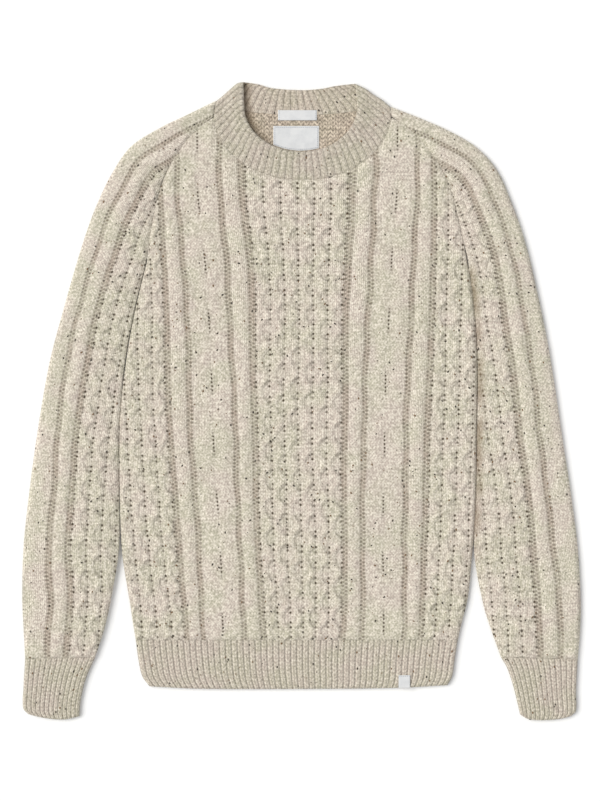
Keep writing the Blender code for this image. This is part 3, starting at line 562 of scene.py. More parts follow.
def sleeveTube(name, materials, table, innerFold):
    sections = sleeveSections(table)
    length = sections[-1, 0]
    gap = layers["seamGap"] / 2
    r = np.linspace(gap, length - gap, sleeveKnit["rows"])
    front, back = sleeveKnit["frontColumns"], sleeveKnit["backColumns"]
    share = np.concatenate([np.linspace(0, 1, front + 1), np.linspace(1, 0, back + 1)[1:-1]])
    isFront = np.arange(len(share)) <= front

    def lay(r):
        # the places, stitches and distances on cross lines of the sleeve
        section = readTable(sections, r)
        outer, inner = section[:, :2], section[:, 2:4]
        width = np.linalg.norm(inner - outer, axis=1)
        into = (inner - outer) / width[:, None]
        distance = gap + share * (width[:, None] - 2 * gap)
        places = outer[:, None] + into[:, None] * distance[..., None]
        counted = np.arange(0, 45, 0.25)
        row = r / knit["row"]
        stitches = np.empty(places.shape)
        for k in range(len(r)):
            laid = drawnIn(counted + knit["ringMiddle"], row[k]) - knit["ringMiddle"]
            first, second = section[k, 4:]
            marks = [0, sleeveKnit["outerLadder"], sleeveKnit["innerLadder"], 60]
            where = np.interp(laid, marks, [0, first, second, second + (60 - marks[2]) * knit["stitch"]])
            # the slit of the ring cable would smear over the fold, so the count starts beside it
            stitches[k, :, 0] = knit["ringMiddle"] + np.maximum(
                sleeveKnit["foldStitch"], np.interp(distance[k], where, counted))
            stitches[k, :, 1] = row[k]
        stitches = strayed(stitches, places)
        toFold = np.minimum(distance, width[:, None] - distance)
        ends = np.minimum(1, np.minimum(r / sleeveKnit["puffArmhole"],
                                        (length - r) / sleeveKnit["puffCuff"]))
        puff = sleeveKnit["puff"] * ends[:, None] * np.sin(
            0.5 * np.pi * np.clip(toFold / sleeveKnit["puffFold"], 0, 1))
        sewn = step(bodyKnit["underarm"] - 6, bodyKnit["underarm"] + 6, inner[:, 1])[:, None]
        return places, stitches, distance, width[:, None] - distance, puff, sewn

    places, stitches, toOuter, toInner, puff, sewn = lay(r)
    toEnd = np.minimum(r, length - r)[:, None]
    toSeam = np.minimum(toEnd, np.where(sewn > 0.5, toInner, 1e3))
    raised = handRelief(stitches, places)
    raised *= np.clip(np.minimum(toSeam, np.minimum(toOuter, toInner)) / layers["seamFade"], 0, 1)
    # one sleeve lies close against the body, the other falls away from it into a shadow
    atBody = pressed(places[:, front:front + 1, 1]) * (innerFold > 1)
    held = np.maximum(layers["foldRound"] * sewn, atBody)
    turned = np.minimum(crown(toOuter), crown(toInner * (innerFold + 9 * sewn) + held))
    dip = layers["seamDip"] * (1 - crown(toSeam, layers["seamRound"]))
    fold = layers["foldHeight"]
    top = fold + (layers["ground"] + puff + raised - dip - fold) * turned
    bottom = fold + (layers["underGround"] * (1 - raised / knit["cable"]) - fold) * turned
    outer = np.dstack([places, np.where(isFront, top, bottom)])
    # the shadow between the body and the sleeve that falls away from it
    shadow = (1 - step(2.5, layers["shadowReach"], toInner)) * (1 - sewn) * step(-230, -120, places[..., 1])
    shadow = shadow * (innerFold < 1) * np.clip(0.75 + 0.35 * wander(places, 16, 8), 0, 1)
    values = {"valley": (1 - raised / knit["cable"], 0), "paintedFoldShade": (shadow, 0)}

    inner = lay(np.linspace(gap, length - gap, sleeveKnit["innerRows"]))
    wall = layers["foldWall"]
    width = inner[2] + inner[3]
    squeeze = (wall + inner[2] / width * (width - 2 * wall) - inner[2])[..., None]
    into = inner[0][:, front:front + 1] - inner[0][:, :1]
    into = into / np.linalg.norm(into, axis=-1)[..., None]
    within = inner[0] + into * squeeze
    roof = layers["frontUnder"] + inner[4]
    innerPoints = np.dstack([within, np.where(isFront, roof, layers["backTop"])])
    return makeTube(name, outer, innerPoints, stitches, inner[1], values, materials)


ribbing = {
    "rib": 0.85,
    "ground": 6.9,
    "end": 5.4,
    "underGround": 1.4,
    "underRib": 1.2,
    "pointsPerRib": 8,
    "endRound": 3.5,
    "hem": {
        "ribs": 54,
        "rows": 26,
        "folds": (((171, -332.5), (176.5, -322), (179.5, -302), (183, -280)),
                  ((-178, -334), (-186.5, -322), (-191, -302), (-194, -280))),
        "end": ((171, -332.5), (110, -335.8), (0, -337), (-120, -336.8), (-178, -334)),
        "seam": ((183, -280), (100, -280), (0, -280), (-100, -280), (-194, -280)),
    },
    "cuffMinusX": {
        "ribs": 13,
        "rows": 34,
        "folds": (((-260, -369), (-258.5, -350), (-252, -324), (-241.5, -300)),
                  ((-320, -366.5), (-325.8, -360), (-325.5, -335), (-323.5, -302))),
        "end": ((-260, -369), (-278, -372.8), (-301, -371), (-320, -366.5)),
        "seam": ((-241.5, -300), (-268.8, -300.7), (-296, -301.3), (-323.5, -302)),
    },
    "cuffPlusX": {
        "ribs": 13,
        "rows": 34,
        "folds": (((256, -367), (248, -334), (240.5, -312), (233.5, -300)),
                  ((316, -368.5), (321.5, -363), (321.5, -339), (323.5, -302))),
        "end": ((256, -367), (266, -372.5), (285, -373.5), (304, -371.8), (316, -368.5)),
        "seam": ((233.5, -300), (263.5, -300.7), (293.5, -301.3), (323.5, -302)),
    },
    "neck": {"ribs": 36, "backRibs": 21, "stitchesPerRib": 2, "rows": 30, "innerRows": 9, "insideRib": 0.9,
             "rimLift": 3.2, "hollow": 1.2},
}


def ribProfile(turn):
    return (0.5 - 0.5 * np.cos(2 * np.pi * turn)) ** 0.5


def ribbedTube(name, materials, sizes, frontLines, backLines, lift=None):
    # a flattened ribbed tube; its two lines run fold to fold, at the open end and at the seam
    ribs, rows = sizes["ribs"], sizes["rows"]
    count = ribs * ribbing["pointsPerRib"]
    across = np.linspace(0, 1, count + 1)
    p = np.linspace(0, 1, rows)[:, None, None]
    folds = [along(smoothLine(fold), np.linspace(0, 1, rows)) for fold in sizes["folds"]]

    def lay(lines, spots, p, folds):
        ends = [along(line, spots) for line in lines]
        bends = [fold - (fold[0] + (fold[-1] - fold[0]) * p[:, 0]) for fold in folds]
        bend = bends[0][:, None] * (1 - spots[None, :, None]) + bends[1][:, None] * spots[None, :, None]
        return ends[0] * (1 - p) + ends[1] * p + bend

    frontPlaces = lay(frontLines, across, p, folds)
    backPlaces = lay(backLines, across[::-1][1:-1], p, folds)
    endMiddle, seamMiddle = (line[len(line) // 2] for line in frontLines)
    height = np.linalg.norm(endMiddle - seamMiddle)
    backRibs = sizes.get("backRibs", ribs)
    turn = np.concatenate([across * ribs, ribs - backRibs + across[::-1][1:-1] * backRibs])
    isFront = np.arange(len(turn)) <= count
    places = np.concatenate([frontPlaces, backPlaces], 1)
    toFold = np.minimum(reach(places, folds[0]), reach(places, folds[1]))
    rib = ribProfile(turn)[None, :] * np.ones((rows, 1))
    down = p[..., 0]
    toEnd, toSeam = down * height, (1 - down) * height
    endTurn = crown(toEnd, ribbing["endRound"])
    seamTurn = crown(toSeam, layers["seamRound"])
    fold = layers["foldHeight"]
    top = ribbing["ground"] + ribbing["rib"] * rib * (0.45 + 0.55 * seamTurn)
    endDrop = ribbing["ground"] - ribbing["end"]
    top = top - layers["seamDip"] * (1 - seamTurn) - endDrop * (1 - endTurn) * 1.4
    if lift is not None:
        top = top + lift(places, down)
    bottom = ribbing["underGround"] - ribbing["underRib"] * rib + 0.8 * (1 - endTurn)
    top = fold + (top - fold) * crown(toFold)
    bottom = fold + (bottom - fold) * crown(toFold)
    outer = np.dstack([places, np.where(isFront, top, bottom)])
    counted = turn * sizes.get("stitchesPerRib", 1)
    uv = np.dstack([np.broadcast_to(counted, rib.shape),
                    np.broadcast_to(toEnd / knit["row"], rib.shape)])

    few = np.linspace(0, rows - 1, sizes.get("innerRows", 5)).round().astype(int)
    wall = layers["foldWall"] / runningLength(np.asarray(frontLines[1], float))[-1]
    spots = wall + across * (1 - 2 * wall)
    sides = lay(frontLines, spots, p, folds), lay(backLines, spots[::-1][1:-1], p, folds)
    within = np.concatenate(sides, 1)[few]
    roof = layers["frontUnder"] + (0 if lift is None else lift(places, down)[few])
    floor = layers["backTop"] + (sizes.get("insideRib", 0) * rib)[few]
    if "hollow" in sizes:
        floor = floor - sizes["hollow"] * paintedFoldShade(within)
    innerPoints = np.dstack([within, np.where(isFront, roof, floor)])
    # valley marks the furrows between the ribs, where shade is painted into the colour; the neck's fold at
    # the rim gets painted shade on the inside
    values = {"valley": (1 - rib, 1 - rib[few]), "inside": (0, 1), "paintedFoldShade": (0, paintedFoldShade(within))}
    return makeTube(name, outer, innerPoints, uv, uv[few], values, materials)


def neckTube(name, materials):
    seam, rim = neckLines["seam"], neckLines["rim"]
    angle = lambda ellipse, x: math.acos(max(-1, min(1, (x - ellipse["x"]) / ellipse["across"])))
    arcs = []
    for ellipse, start, end in ((rim, 65, -67), (seam, 104.8, -102.8)):
        turns = np.linspace(angle(ellipse, start), angle(ellipse, end), 120)
        arcs.append(np.column_stack([ellipse["x"] + ellipse["across"] * np.cos(turns),
                                     ellipse["y"] - ellipse["down"] * np.sin(turns)]))
    rimLine = smoothLine(np.vstack([[63, 371.5], arcs[0][::6], [-68, 373.5]]), 300)
    seamLine = np.vstack([[104.5, 344], arcs[1], [-100, 351]])
    sizes = dict(ribbing["neck"], folds=(neckLines["foldPlusX"], neckLines["foldMinusX"]))
    back = (smoothLine(neckLines["backTop"]), smoothLine(neckLines["backSeam"]))

    def lift(places, down):
        # the rim stands a little off the back, most at the wearer's right
        side = 1 - step(-72, 20, places[..., 0])
        return sizes["rimLift"] * (0.25 + 0.75 * side) * (1 - step(0.0, 0.75, down))

    return ribbedTube(name, materials, sizes, (rimLine, seamLine), back, lift)


def linear(hexColour):
    values = [int(hexColour[k:k + 2], 16) / 255 for k in (0, 2, 4)]
    return (*[v / 12.92 if v <= 0.04045 else ((v + 0.055) / 1.055) ** 2.4 for v in values], 1)


mixed = {"out": 2, "data_type": "RGBA"}


def setInputs(tree, node, inputs):
    # gives each input its value, or links it to the output given
    for key, value in inputs.items():
        if isinstance(value, bpy.types.NodeSocket):
            tree.links.new(value, node.inputs[key])
        else:
            node.inputs[key].default_value = value


def addNode(tree, kind, inputs=None, out=0, **settings):
    # adds one node, a shader node unless its kind says otherwise, and returns the output asked for
    node = tree.nodes.new(kind if "Node" in kind else "ShaderNode" + kind)
    for key, value in settings.items():
        setattr(node, key, value)
    setInputs(tree, node, inputs or {})
    return node.outputs[out]


def newMaterial(name):
    # a material with its tree, its shader and the function that adds a node to it
    material = bpy.data.materials.new(name)
    material.use_nodes = True
    tree = material.node_tree
    return material, tree, tree.nodes["Principled BSDF"], partial(addNode, tree)


woolColours = {
    "light": "E0D8C9",
    "green": "D0CAB4",
    "pink": "D8CABD",
    # painted shade in the cables' holes, the ring cables' slits and between the ladders' purl stitches
    "gap": "4C4132",
    # painted shade in the fold at the neck's rim and beside the sleeve that falls away from the body
    "paintedFoldShade": "705A3C",
    "rust": "8F7148",
    "charcoal": "3F3A33",
    "brown": "7A6248",
    "warm": "CDB79E",
}
# Cells to a metre and detail: patches of 36 mm, tufts of 4 mm, fibres of 2 mm and clumps of 8 mm.
woolNoise = {"patches": (28.0, 4.0), "heather": (260.0, 2.0), "fibres": (420.0, 1.5),
             "clumps": (120.0, 1.0)}
nepCells = 170.0


def woolMaterial(name, tone, pattern):
    # Shetland tweed yarn, woollen spun and hand knitted: dull, heathered, with neps and soft edges
    material, tree, shader, add = newMaterial(name)
    maths = "Math"
    place = add("TexCoord", out="Object")
    stitchMap = add("UVMap", uv_map="stitches")
    u = add("SeparateXYZ", {0: stitchMap}, out=0)
    v = add("SeparateXYZ", {0: stitchMap}, out=1)

    # heathered colour
    patches, heather, heatherFine, tufts = (
        add("TexNoise", {"Vector": place, "Scale": cells, "Detail": detail}, out="Fac")
        for cells, detail in woolNoise.values())
    wide = add("MapRange", {0: patches, 1: 0.4, 2: 0.6})
    base = add("Mix", {0: wide, 6: linear(woolColours["green"]), 7: linear(woolColours["pink"])}, **mixed)
    lightShare = add("MapRange", {0: heatherFine, 1: 0.4, 2: 0.7})
    base = add("Mix", {0: lightShare, 6: base, 7: linear(woolColours["light"])}, **mixed)
    inside = add("Attribute", out="Fac", attribute_name="inside")
    inside = add(maths, {0: inside, 1: 0.12, 2: tone["warmth"]}, operation="MULTIPLY_ADD")
    base = add("Mix", {0: inside, 6: base, 7: linear(woolColours["warm"])}, **mixed)

    # knit stitches: two slanting legs in each column, one V to a row
    column = add(maths, {0: u}, operation="FRACT")
    offColumn = add(maths, {0: column, 1: 0.5}, operation="SUBTRACT")
    aside = add(maths, {0: offColumn}, operation="ABSOLUTE")
    turned = add(maths, {0: u, 1: 2 * math.pi}, operation="MULTIPLY")
    legWave = add(maths, {0: turned}, operation="SINE")
    legs = add(maths, {0: add(maths, {0: legWave}, operation="ABSOLUTE"), 1: 0.6},
                   operation="POWER")
    slant = add(maths, {0: aside, 1: -1.7, 2: v}, operation="MULTIPLY_ADD")
    if pattern == "purl":
        # the wrong side: wavy ridges across, each a row of half loops
        swing = add(maths, {0: turned}, operation="COSINE")
        swing = add(maths, {0: heather, 1: 0.9, 2: swing}, operation="MULTIPLY_ADD")
        slant = add(maths, {0: swing, 1: 0.3, 2: v}, operation="MULTIPLY_ADD")
        legs = add(maths, {0: legs, 1: 0.45, 2: 0.55}, operation="MULTIPLY_ADD")
    rowWave = add(maths, {0: add(maths, {0: slant, 1: math.pi}, operation="MULTIPLY")},
                      operation="SINE")
    rows = add(maths, {0: add(maths, {0: rowWave}, operation="ABSOLUTE"), 1: 0.45},
                   operation="POWER")
    loops = add(maths, {0: legs, 1: rows}, operation="MULTIPLY")
    valley = add("Attribute", out="Fac", attribute_name="valley")
    fibres = add(maths, {0: heather, 1: 0.25}, operation="MULTIPLY")
    fibres = add(maths, {0: heatherFine, 1: 0.75, 2: fibres}, operation="MULTIPLY_ADD")
    frayed = add(maths, {0: loops, 1: 0.8, 2: fibres}, operation="MULTIPLY_ADD")
    shade = add("MapRange", {0: frayed, 1: 0.6, 2: 1.3, 3: tone["gapShade"],
                                                 4: tone["level"]})
    # painted shade: darker where the relief lies low, in the cables' valleys and between the ribs
    paintedDeepShade = add("MapRange", {0: valley, 1: 0.4, 2: 0.95, 3: 1.0, 4: tone["valleyShade"]})
    fine = add("MapRange", {0: heatherFine, 1: 0.3, 2: 0.7, 3: 1 - tone["speckle"],
                                                4: 1 + tone["speckle"]})
    dark = add(maths, {0: add(maths, {0: shade, 1: paintedDeepShade}, operation="MULTIPLY"), 1: fine},
                   operation="MULTIPLY")
    colour = add("Mix", {0: 1.0, 6: base, 7: dark}, blend_type="MULTIPLY", **mixed)

    holes = None
    if pattern == "cables":
        stitch = add(maths, {0: u}, operation="ABSOLUTE")
        fromRing = add(maths, {0: stitch, 1: knit["ringMiddle"]}, operation="SUBTRACT")
        fromRing = add(maths, {0: fromRing}, operation="ABSOLUTE")
        # ladders of purl stitches lie 6 to 8 and 12 to 14 stitches from a ring cable
        offRope = add(maths, {0: fromRing, 1: 10.0}, operation="SUBTRACT")
        offRope = add(maths, {0: offRope}, operation="ABSOLUTE")
        offLadder = add(maths, {0: offRope, 1: 3.0}, operation="SUBTRACT")
        ladderSide = add(maths, {0: offLadder, 1: 0.0}, operation="GREATER_THAN")
        offLadder = add(maths, {0: offLadder}, operation="ABSOLUTE")
        ladder = add("MapRange", {0: offLadder, 1: 0.5, 2: 1.15, 3: 1.0, 4: 0.0})
        # painted shade: a dark dot beside each purl stitch, the two sides half a row apart
        dotRow = add(maths, {0: ladderSide, 1: 0.5, 2: v}, operation="MULTIPLY_ADD")
        dotRow = add(maths, {0: dotRow, 1: 0.5, 2: -0.5}, operation="WRAP")
        dotSide = add(maths, {0: offLadder, 1: 0.7, 2: -0.36}, operation="MULTIPLY_ADD")
        dot = add("VectorMath",
                      {0: add("CombineXYZ", {0: dotSide, 1: dotRow})}, out="Value",
                      operation="LENGTH")
        dot = add(maths, {0: heatherFine, 1: -0.5, 2: dot}, operation="MULTIPLY_ADD")
        dot = add("MapRange", {0: dot, 1: -0.05, 2: 0.2, 3: tone["ladderDark"], 4: 0.0})
        strength = add("MapRange", {0: tufts, 1: 0.36, 2: 0.58, 3: 0.5, 4: 1.0})
        purlGap = add(maths, {0: dot, 1: strength}, operation="MULTIPLY")
        # the ladder is tinted along its length, in places rust brown
        rust = add("MapRange", {0: patches, 1: 0.42, 2: 0.58, 3: 0.3, 4: 1.0})
        tint = add(maths, {0: rust, 1: ladder}, operation="MULTIPLY")
        tint = add(maths, {0: tint, 1: tone["ladderLine"]}, operation="MULTIPLY")
        colour = add("Mix", {0: tint, 6: colour, 7: linear(woolColours["rust"])}, **mixed)
        # honeycomb cells: 4 stitches wide, every 8 rows, those of the next line half way between
        inComb = add("MapRange", {0: fromRing, 1: 13.4, 2: 13.7, 3: 0.0, 4: 1.0})
        wrapU = add(maths, {0: u, 1: 2.0, 2: -2.0}, operation="WRAP")
        line = add(maths, {0: u, 1: wrapU}, operation="SUBTRACT")
        rowsOff = add(maths, {0: v, 1: line}, operation="ADD")
        rowsOff = add(maths, {0: rowsOff, 1: 6.0}, operation="SUBTRACT")
        rowsOff = add(maths, {0: rowsOff, 1: 4.0, 2: -4.0}, operation="WRAP")
        # painted shade: a soft dark arc round each cell, darker on each cell's -X side, towards the window
        # light
        across = add(maths, {0: wrapU, 1: 2.05}, operation="DIVIDE")
        upward = add(maths, {0: rowsOff, 1: 2.9}, operation="DIVIDE")
        ring = add("VectorMath", {0: add("CombineXYZ", {0: across, 1: upward})},
                       out="Value", operation="LENGTH")
        ring = add(maths, {0: add(maths, {0: ring, 1: 1.0}, operation="SUBTRACT")},
                       operation="ABSOLUTE")
        ring = add("MapRange", {0: ring, 1: 0.03, 2: 0.24, 3: tone["arcDark"], 4: 0.0})
        paintedShadowSide = add("MapRange", {0: wrapU, 1: -0.8, 2: 0.8, 3: 1.0, 4: 0.45})
        ring = add(maths, {0: ring, 1: paintedShadowSide}, operation="MULTIPLY")
        ring = add(maths, {0: ring, 1: inComb}, operation="MULTIPLY")
        arcStrength = add("MapRange", {0: tufts, 1: 0.42, 2: 0.56, 3: 1.0, 4: 0.1})
        ring = add(maths, {0: ring, 1: arcStrength}, operation="MULTIPLY")
        colour = add("Mix", {0: ring, 6: colour, 7: linear(woolColours["gap"])}, **mixed)
        # painted shade in the holes down each line: none in a cell's middle, and smaller ones between the
        # cells
        rowsOff = add(maths, {0: rowsOff}, operation="ABSOLUTE")
        nearest = add(maths, {0: rowsOff, 1: 0.67, 2: -0.67}, operation="WRAP")
        spots = add("VectorMath",
                        {0: add("CombineXYZ", {0: wrapU, 1: nearest})}, out="Value",
                        operation="LENGTH")
        spots = add("MapRange", {0: spots, 1: 0.2, 2: 0.45, 3: tone["holeDark"], 4: 0.0})
        noneMid = add("MapRange", {0: rowsOff, 1: 0.5, 2: 1.0, 3: 0.15, 4: 1.0})
        lessBetween = add("MapRange", {0: rowsOff, 1: 3.2, 2: 3.6, 3: 1.0, 4: 0.6})
        for share in (inComb, strength, noneMid, lessBetween):
            spots = add(maths, {0: spots, 1: share}, operation="MULTIPLY")
        # painted shade in the slit in the middle of a ring cable, a dot to a row where it is open
        turn = 2 * math.pi / knit["ringRepeat"]
        opened = add(maths, {0: add(maths, {0: v, 1: turn}, operation="MULTIPLY")},
                         operation="COSINE")
        opened = add("MapRange", {0: opened, 1: 0.1, 2: 0.6})
        rowOff = add(maths, {0: v, 1: 0.5, 2: -0.5}, operation="WRAP")
        slitSpot = add("VectorMath",
                           {0: add("CombineXYZ", {0: fromRing, 1: rowOff})}, out="Value",
                           operation="LENGTH")
        slit = add("MapRange", {0: slitSpot, 1: 0.16, 2: 0.42, 3: tone["holeDark"], 4: 0.0})
        slit = add(maths, {0: slit, 1: opened}, operation="MULTIPLY")
        holes = add(maths, {0: spots, 1: slit}, operation="MAXIMUM")
        holes = add(maths, {0: holes, 1: purlGap}, operation="MAXIMUM")
        colour = add("Mix", {0: holes, 6: colour, 7: linear(woolColours["gap"])}, **mixed)

    # neps: dark specks spun into the yarn, 1 to 2 mm across
    away = add("TexVoronoi", {"Vector": place, "Scale": nepCells}, out="Distance")
    chance, kind = (add("SeparateColor", {0: away.node.outputs["Color"]}, out=k) for k in (0, 1))
    chosen = add(maths, {0: chance, 1: 0.84}, operation="GREATER_THAN")
    nep = add("MapRange", {0: away, 1: 0.06, 2: 0.2, 3: 0.8, 4: 0.0})
    nep = add(maths, {0: nep, 1: chosen}, operation="MULTIPLY")
    nepColour = add("Mix", {0: kind, 6: linear(woolColours["charcoal"]),
                                                7: linear(woolColours["brown"])}, **mixed)
    colour = add("Mix", {0: nep, 6: colour, 7: nepColour}, **mixed)
    # painted shade: dark brown in the fold at the neck's rim and beside the sleeve that falls away from the
    # body
    paintedFoldShadeShare = add("Attribute", out="Fac", attribute_name="paintedFoldShade")
    paintedFoldShadeShare = add(maths, {0: paintedFoldShadeShare, 1: 0.55}, operation="MULTIPLY")
    colour = add("Mix", {0: paintedFoldShadeShare, 6: colour, 7: linear(woolColours["paintedFoldShade"])}, **mixed)

    # relief of the stitches, and the fuzz of the fibres
    surface = add(maths, {0: heatherFine, 1: 0.5, 2: loops}, operation="MULTIPLY_ADD")
    if holes is not None:
        surface = add(maths, {0: holes, 1: -1.4, 2: surface}, operation="MULTIPLY_ADD")
    bump = add("Bump", {"Strength": tone["bump"], "Distance": 0.0009, "Height": surface})
    setInputs(tree, shader, {"Base Color": colour, "Normal": bump, "Roughness": 0.95,
                             "Specular IOR Level": 0.15, "Sheen Weight": 0.12, "Sheen Roughness": 0.6})
    return material


def tapeMaterial(name):
    # woven polyester satin tape: smooth, bright white, with a fine weave of threads across it
    material, tree, shader, add = newMaterial(name)
    place = add("TexCoord", out="Object")
    # threads are 0.3 mm apart in real tape; 0.9 mm here, so that they show
    weft = add("TexWave", {"Vector": place, "Scale": 350.0, "Distortion": 0.6}, out="Fac",
                   wave_type="BANDS", bands_direction="Y")
    warp = add("TexWave", {"Vector": place, "Scale": 500.0, "Distortion": 0.4}, out="Fac",
                   wave_type="BANDS", bands_direction="X")
    weave = add("Math", {0: weft, 1: warp}, operation="MULTIPLY")
    cloud = add("TexNoise", {"Vector": place, "Scale": 120.0, "Detail": 2.0}, out="Fac")
    tint = add("Math", {0: weave, 1: 0.5, 2: cloud}, operation="MULTIPLY_ADD")
    colour = add("Mix", {0: tint, 6: linear("BCBEC1"), 7: linear("E0E0DF")}, **mixed)
    bump = add("Bump", {"Strength": 0.3, "Distance": 0.0003, "Height": weave})
    setInputs(tree, shader, {"Base Color": colour, "Normal": bump, "Roughness": 0.55})
    return material


# valleyShade, ladderDark, holeDark and arcDark set how much shade is painted into the wool's colour
cableTone = {"level": 1.06, "gapShade": 0.69, "valleyShade": 0.92, "speckle": 0.15, "ladderDark": 0.66,
             "ladderLine": 0.2, "holeDark": 1.0, "arcDark": 0.36, "bump": 0.42, "warmth": 0.0}
ribTone = {"level": 0.91, "gapShade": 0.62, "valleyShade": 0.66, "speckle": 0.14, "bump": 0.4,
           "warmth": 0.08}
purlTone = {"level": 0.88, "gapShade": 0.4, "valleyShade": 1.0, "speckle": 0.24, "bump": 0.8,
            "warmth": 0.5}
cableWool = woolMaterial("tweed_wool_cables", cableTone, "cables")
ribWool = woolMaterial("tweed_wool_ribbing", ribTone, "plain")
insideWool = woolMaterial("tweed_wool_inside", purlTone, "purl")
tape = tapeMaterial("white_woven_tape")
print("materials are ready")

front = bodyLayer("front_knit", [cableWool, insideWool], 1)
back = bodyLayer("back_knit", [cableWool, insideWool], -1)
print("front and back are knitted")
sleeveMinusX = sleeveTube("sleeve_knit_right", [cableWool], sleeveKnit["minusX"], layers["sharpFold"])
sleevePlusX = sleeveTube("sleeve_knit_left", [cableWool], sleeveKnit["plusX"], layers["softFold"])
print("sleeves are knitted")
pieces = []
for name, sizes in (("hem_knit", ribbing["hem"]), ("cuff_knit_right", ribbing["cuffMinusX"]),
                    ("cuff_knit_left", ribbing["cuffPlusX"])):
    lines = (smoothLine(sizes["end"]), smoothLine(sizes["seam"]))
    pieces.append(ribbedTube(name, [ribWool], sizes, lines, lines))
hemBand, cuffMinusX, cuffPlusX = pieces
neckBand = neckTube("neckband_knit", [ribWool])
print("ribbing is knitted")

labelSizes = {
    "thick": 0.6,
    "round": 1.2,
    "neck": {"left": -33, "right": 20.5, "top": 322, "rimGap": 1.5, "low": 3.9},
    "small": {"left": -27.5, "right": 18, "top": 340.5, "bottom": 328.5, "low": 4.5},
    "hem": {"left": 113.5, "right": 127, "top": -320.5, "bottom": -335.5, "low": 8.6},
}


def lowEdge(sizes, x):
    # a label's lower edge: straight, or just inside the neckband's rim
    if "bottom" in sizes:
        return np.full(len(x), float(sizes["bottom"]))
    rim = dict(neckLines["rim"])
    rim["across"] -= sizes["rimGap"]
    rim["down"] -= sizes["rimGap"]
    return neckCurve(rim, x)


def tapePiece(name, sizes, columns=40, rows=24):
    # a strip of tape with softened edges
    x = np.linspace(sizes["left"], sizes["right"], columns)
    low = lowEdge(sizes, x)
    share = np.linspace(0, 1, rows)[:, None]
    y = low + (sizes["top"] - low) * share
    places = np.stack([np.broadcast_to(x, y.shape), y], -1)
    index = np.arange(rows * columns).reshape(rows, columns)
    loop = [*index[0], *index[1:, -1], *index[-1, -2::-1], *index[-2:0:-1, 0]]
    flat = places.reshape(-1, 2)
    toEdge = reach(flat, flat[loop + loop[:1]])
    height = sizes["low"] + labelSizes["thick"] * (0.35 + 0.65 * crown(toEdge, labelSizes["round"]))
    points, under, fill = closeUnder(np.column_stack([flat, height]), np.array(loop), sizes["low"])
    faces = gridFaces(index) + ringFaces(loop, under) + fill
    return makePiece(name, points, faces, points[:, :2], {}, [tape])


neckLabel = tapePiece("neck_label_tape", labelSizes["neck"])
smallLabel = tapePiece("small_label_tape", labelSizes["small"])
hemTab = tapePiece("hem_tab_tape", labelSizes["hem"])
print("labels are cut")


def nodesTree(name, sizes):
    # a Geometry Nodes tree with a geometry input and output, and one named number for each size
    tree = bpy.data.node_groups.new(name, "GeometryNodeTree")
    tree.interface.new_socket(name="Geometry", in_out="INPUT", socket_type="NodeSocketGeometry")
    tree.interface.new_socket(name="Material", in_out="INPUT", socket_type="NodeSocketMaterial")
    for key in sizes:
        tree.interface.new_socket(name=key, in_out="INPUT", socket_type="NodeSocketFloat")
    tree.interface.new_socket(name="Geometry", in_out="OUTPUT", socket_type="NodeSocketGeometry")
    return tree, tree.nodes.new("NodeGroupInput").outputs, partial(addNode, tree)


def endTree(tree, given, add, geometry):
    whole = add("GeometryNodeRealizeInstances", {0: geometry})
    painted = add("GeometryNodeSetMaterial", {"Geometry": whole, "Material": given["Material"]})
    tree.links.new(painted, tree.nodes.new("NodeGroupOutput").inputs[0])


def runTree(name, tree, base, sizes, material):
    # runs a tree on a mesh and keeps the result as a plain mesh
    piece = addObject(name, base)
    modifier = piece.modifiers.new(name, "NODES")
    modifier.node_group = tree
    for item in tree.interface.items_tree:
        if item.in_out == "INPUT" and item.name in sizes:
            modifier[item.identifier] = float(sizes[item.name])
        elif item.in_out == "INPUT" and item.name == "Material":
            modifier[item.identifier] = material
    made = bpy.data.meshes.new_from_object(piece.evaluated_get(bpy.context.evaluated_depsgraph_get()))
    piece.modifiers.clear()
    piece.data = made
    made.name = name
    made.shade_smooth()
    return piece


nepSizes = {"Density": 1500.0, "Smallest": 0.00045, "Largest": 0.0012, "Flatness": 0.45, "Seed": 11}


def nepTree():
    # specks of dark wool caught in the yarn: small flat pellets scattered on what faces up
    tree, given, add = nodesTree("neps", nepSizes)
    normal = add("SeparateXYZ", {0: add("GeometryNodeInputNormal")}, out=2)
    upward = add("FunctionNodeCompare", {0: normal, 1: 0.35}, operation="GREATER_THAN")
    seed = add("FunctionNodeFloatToInt", {0: given["Seed"]})
    points = add("GeometryNodeDistributePointsOnFaces",
                 {"Mesh": given["Geometry"], "Selection": upward,
                  "Density": given["Density"], "Seed": seed})
    pellet = add("GeometryNodeMeshIcoSphere", {"Radius": 1.0, "Subdivisions": 1})
    size = add("FunctionNodeRandomValue", {2: given["Smallest"], 3: given["Largest"], "Seed": seed},
                   out=1, data_type="FLOAT")
    thin = add("Math", {0: size, 1: given["Flatness"]}, operation="MULTIPLY")
    long = add("Math", {0: size, 1: 1.5}, operation="MULTIPLY")
    scale = add("CombineXYZ", {0: long, 1: size, 2: thin})
    placed = add("GeometryNodeInstanceOnPoints",
                 {"Points": points, "Instance": pellet, "Rotation": points.node.outputs["Rotation"],
                  "Scale": scale})
    endTree(tree, given, add, placed)
    return tree


threadSizes = {"Spacing": 0.0022, "Length": 0.00095, "Width": 0.0004}


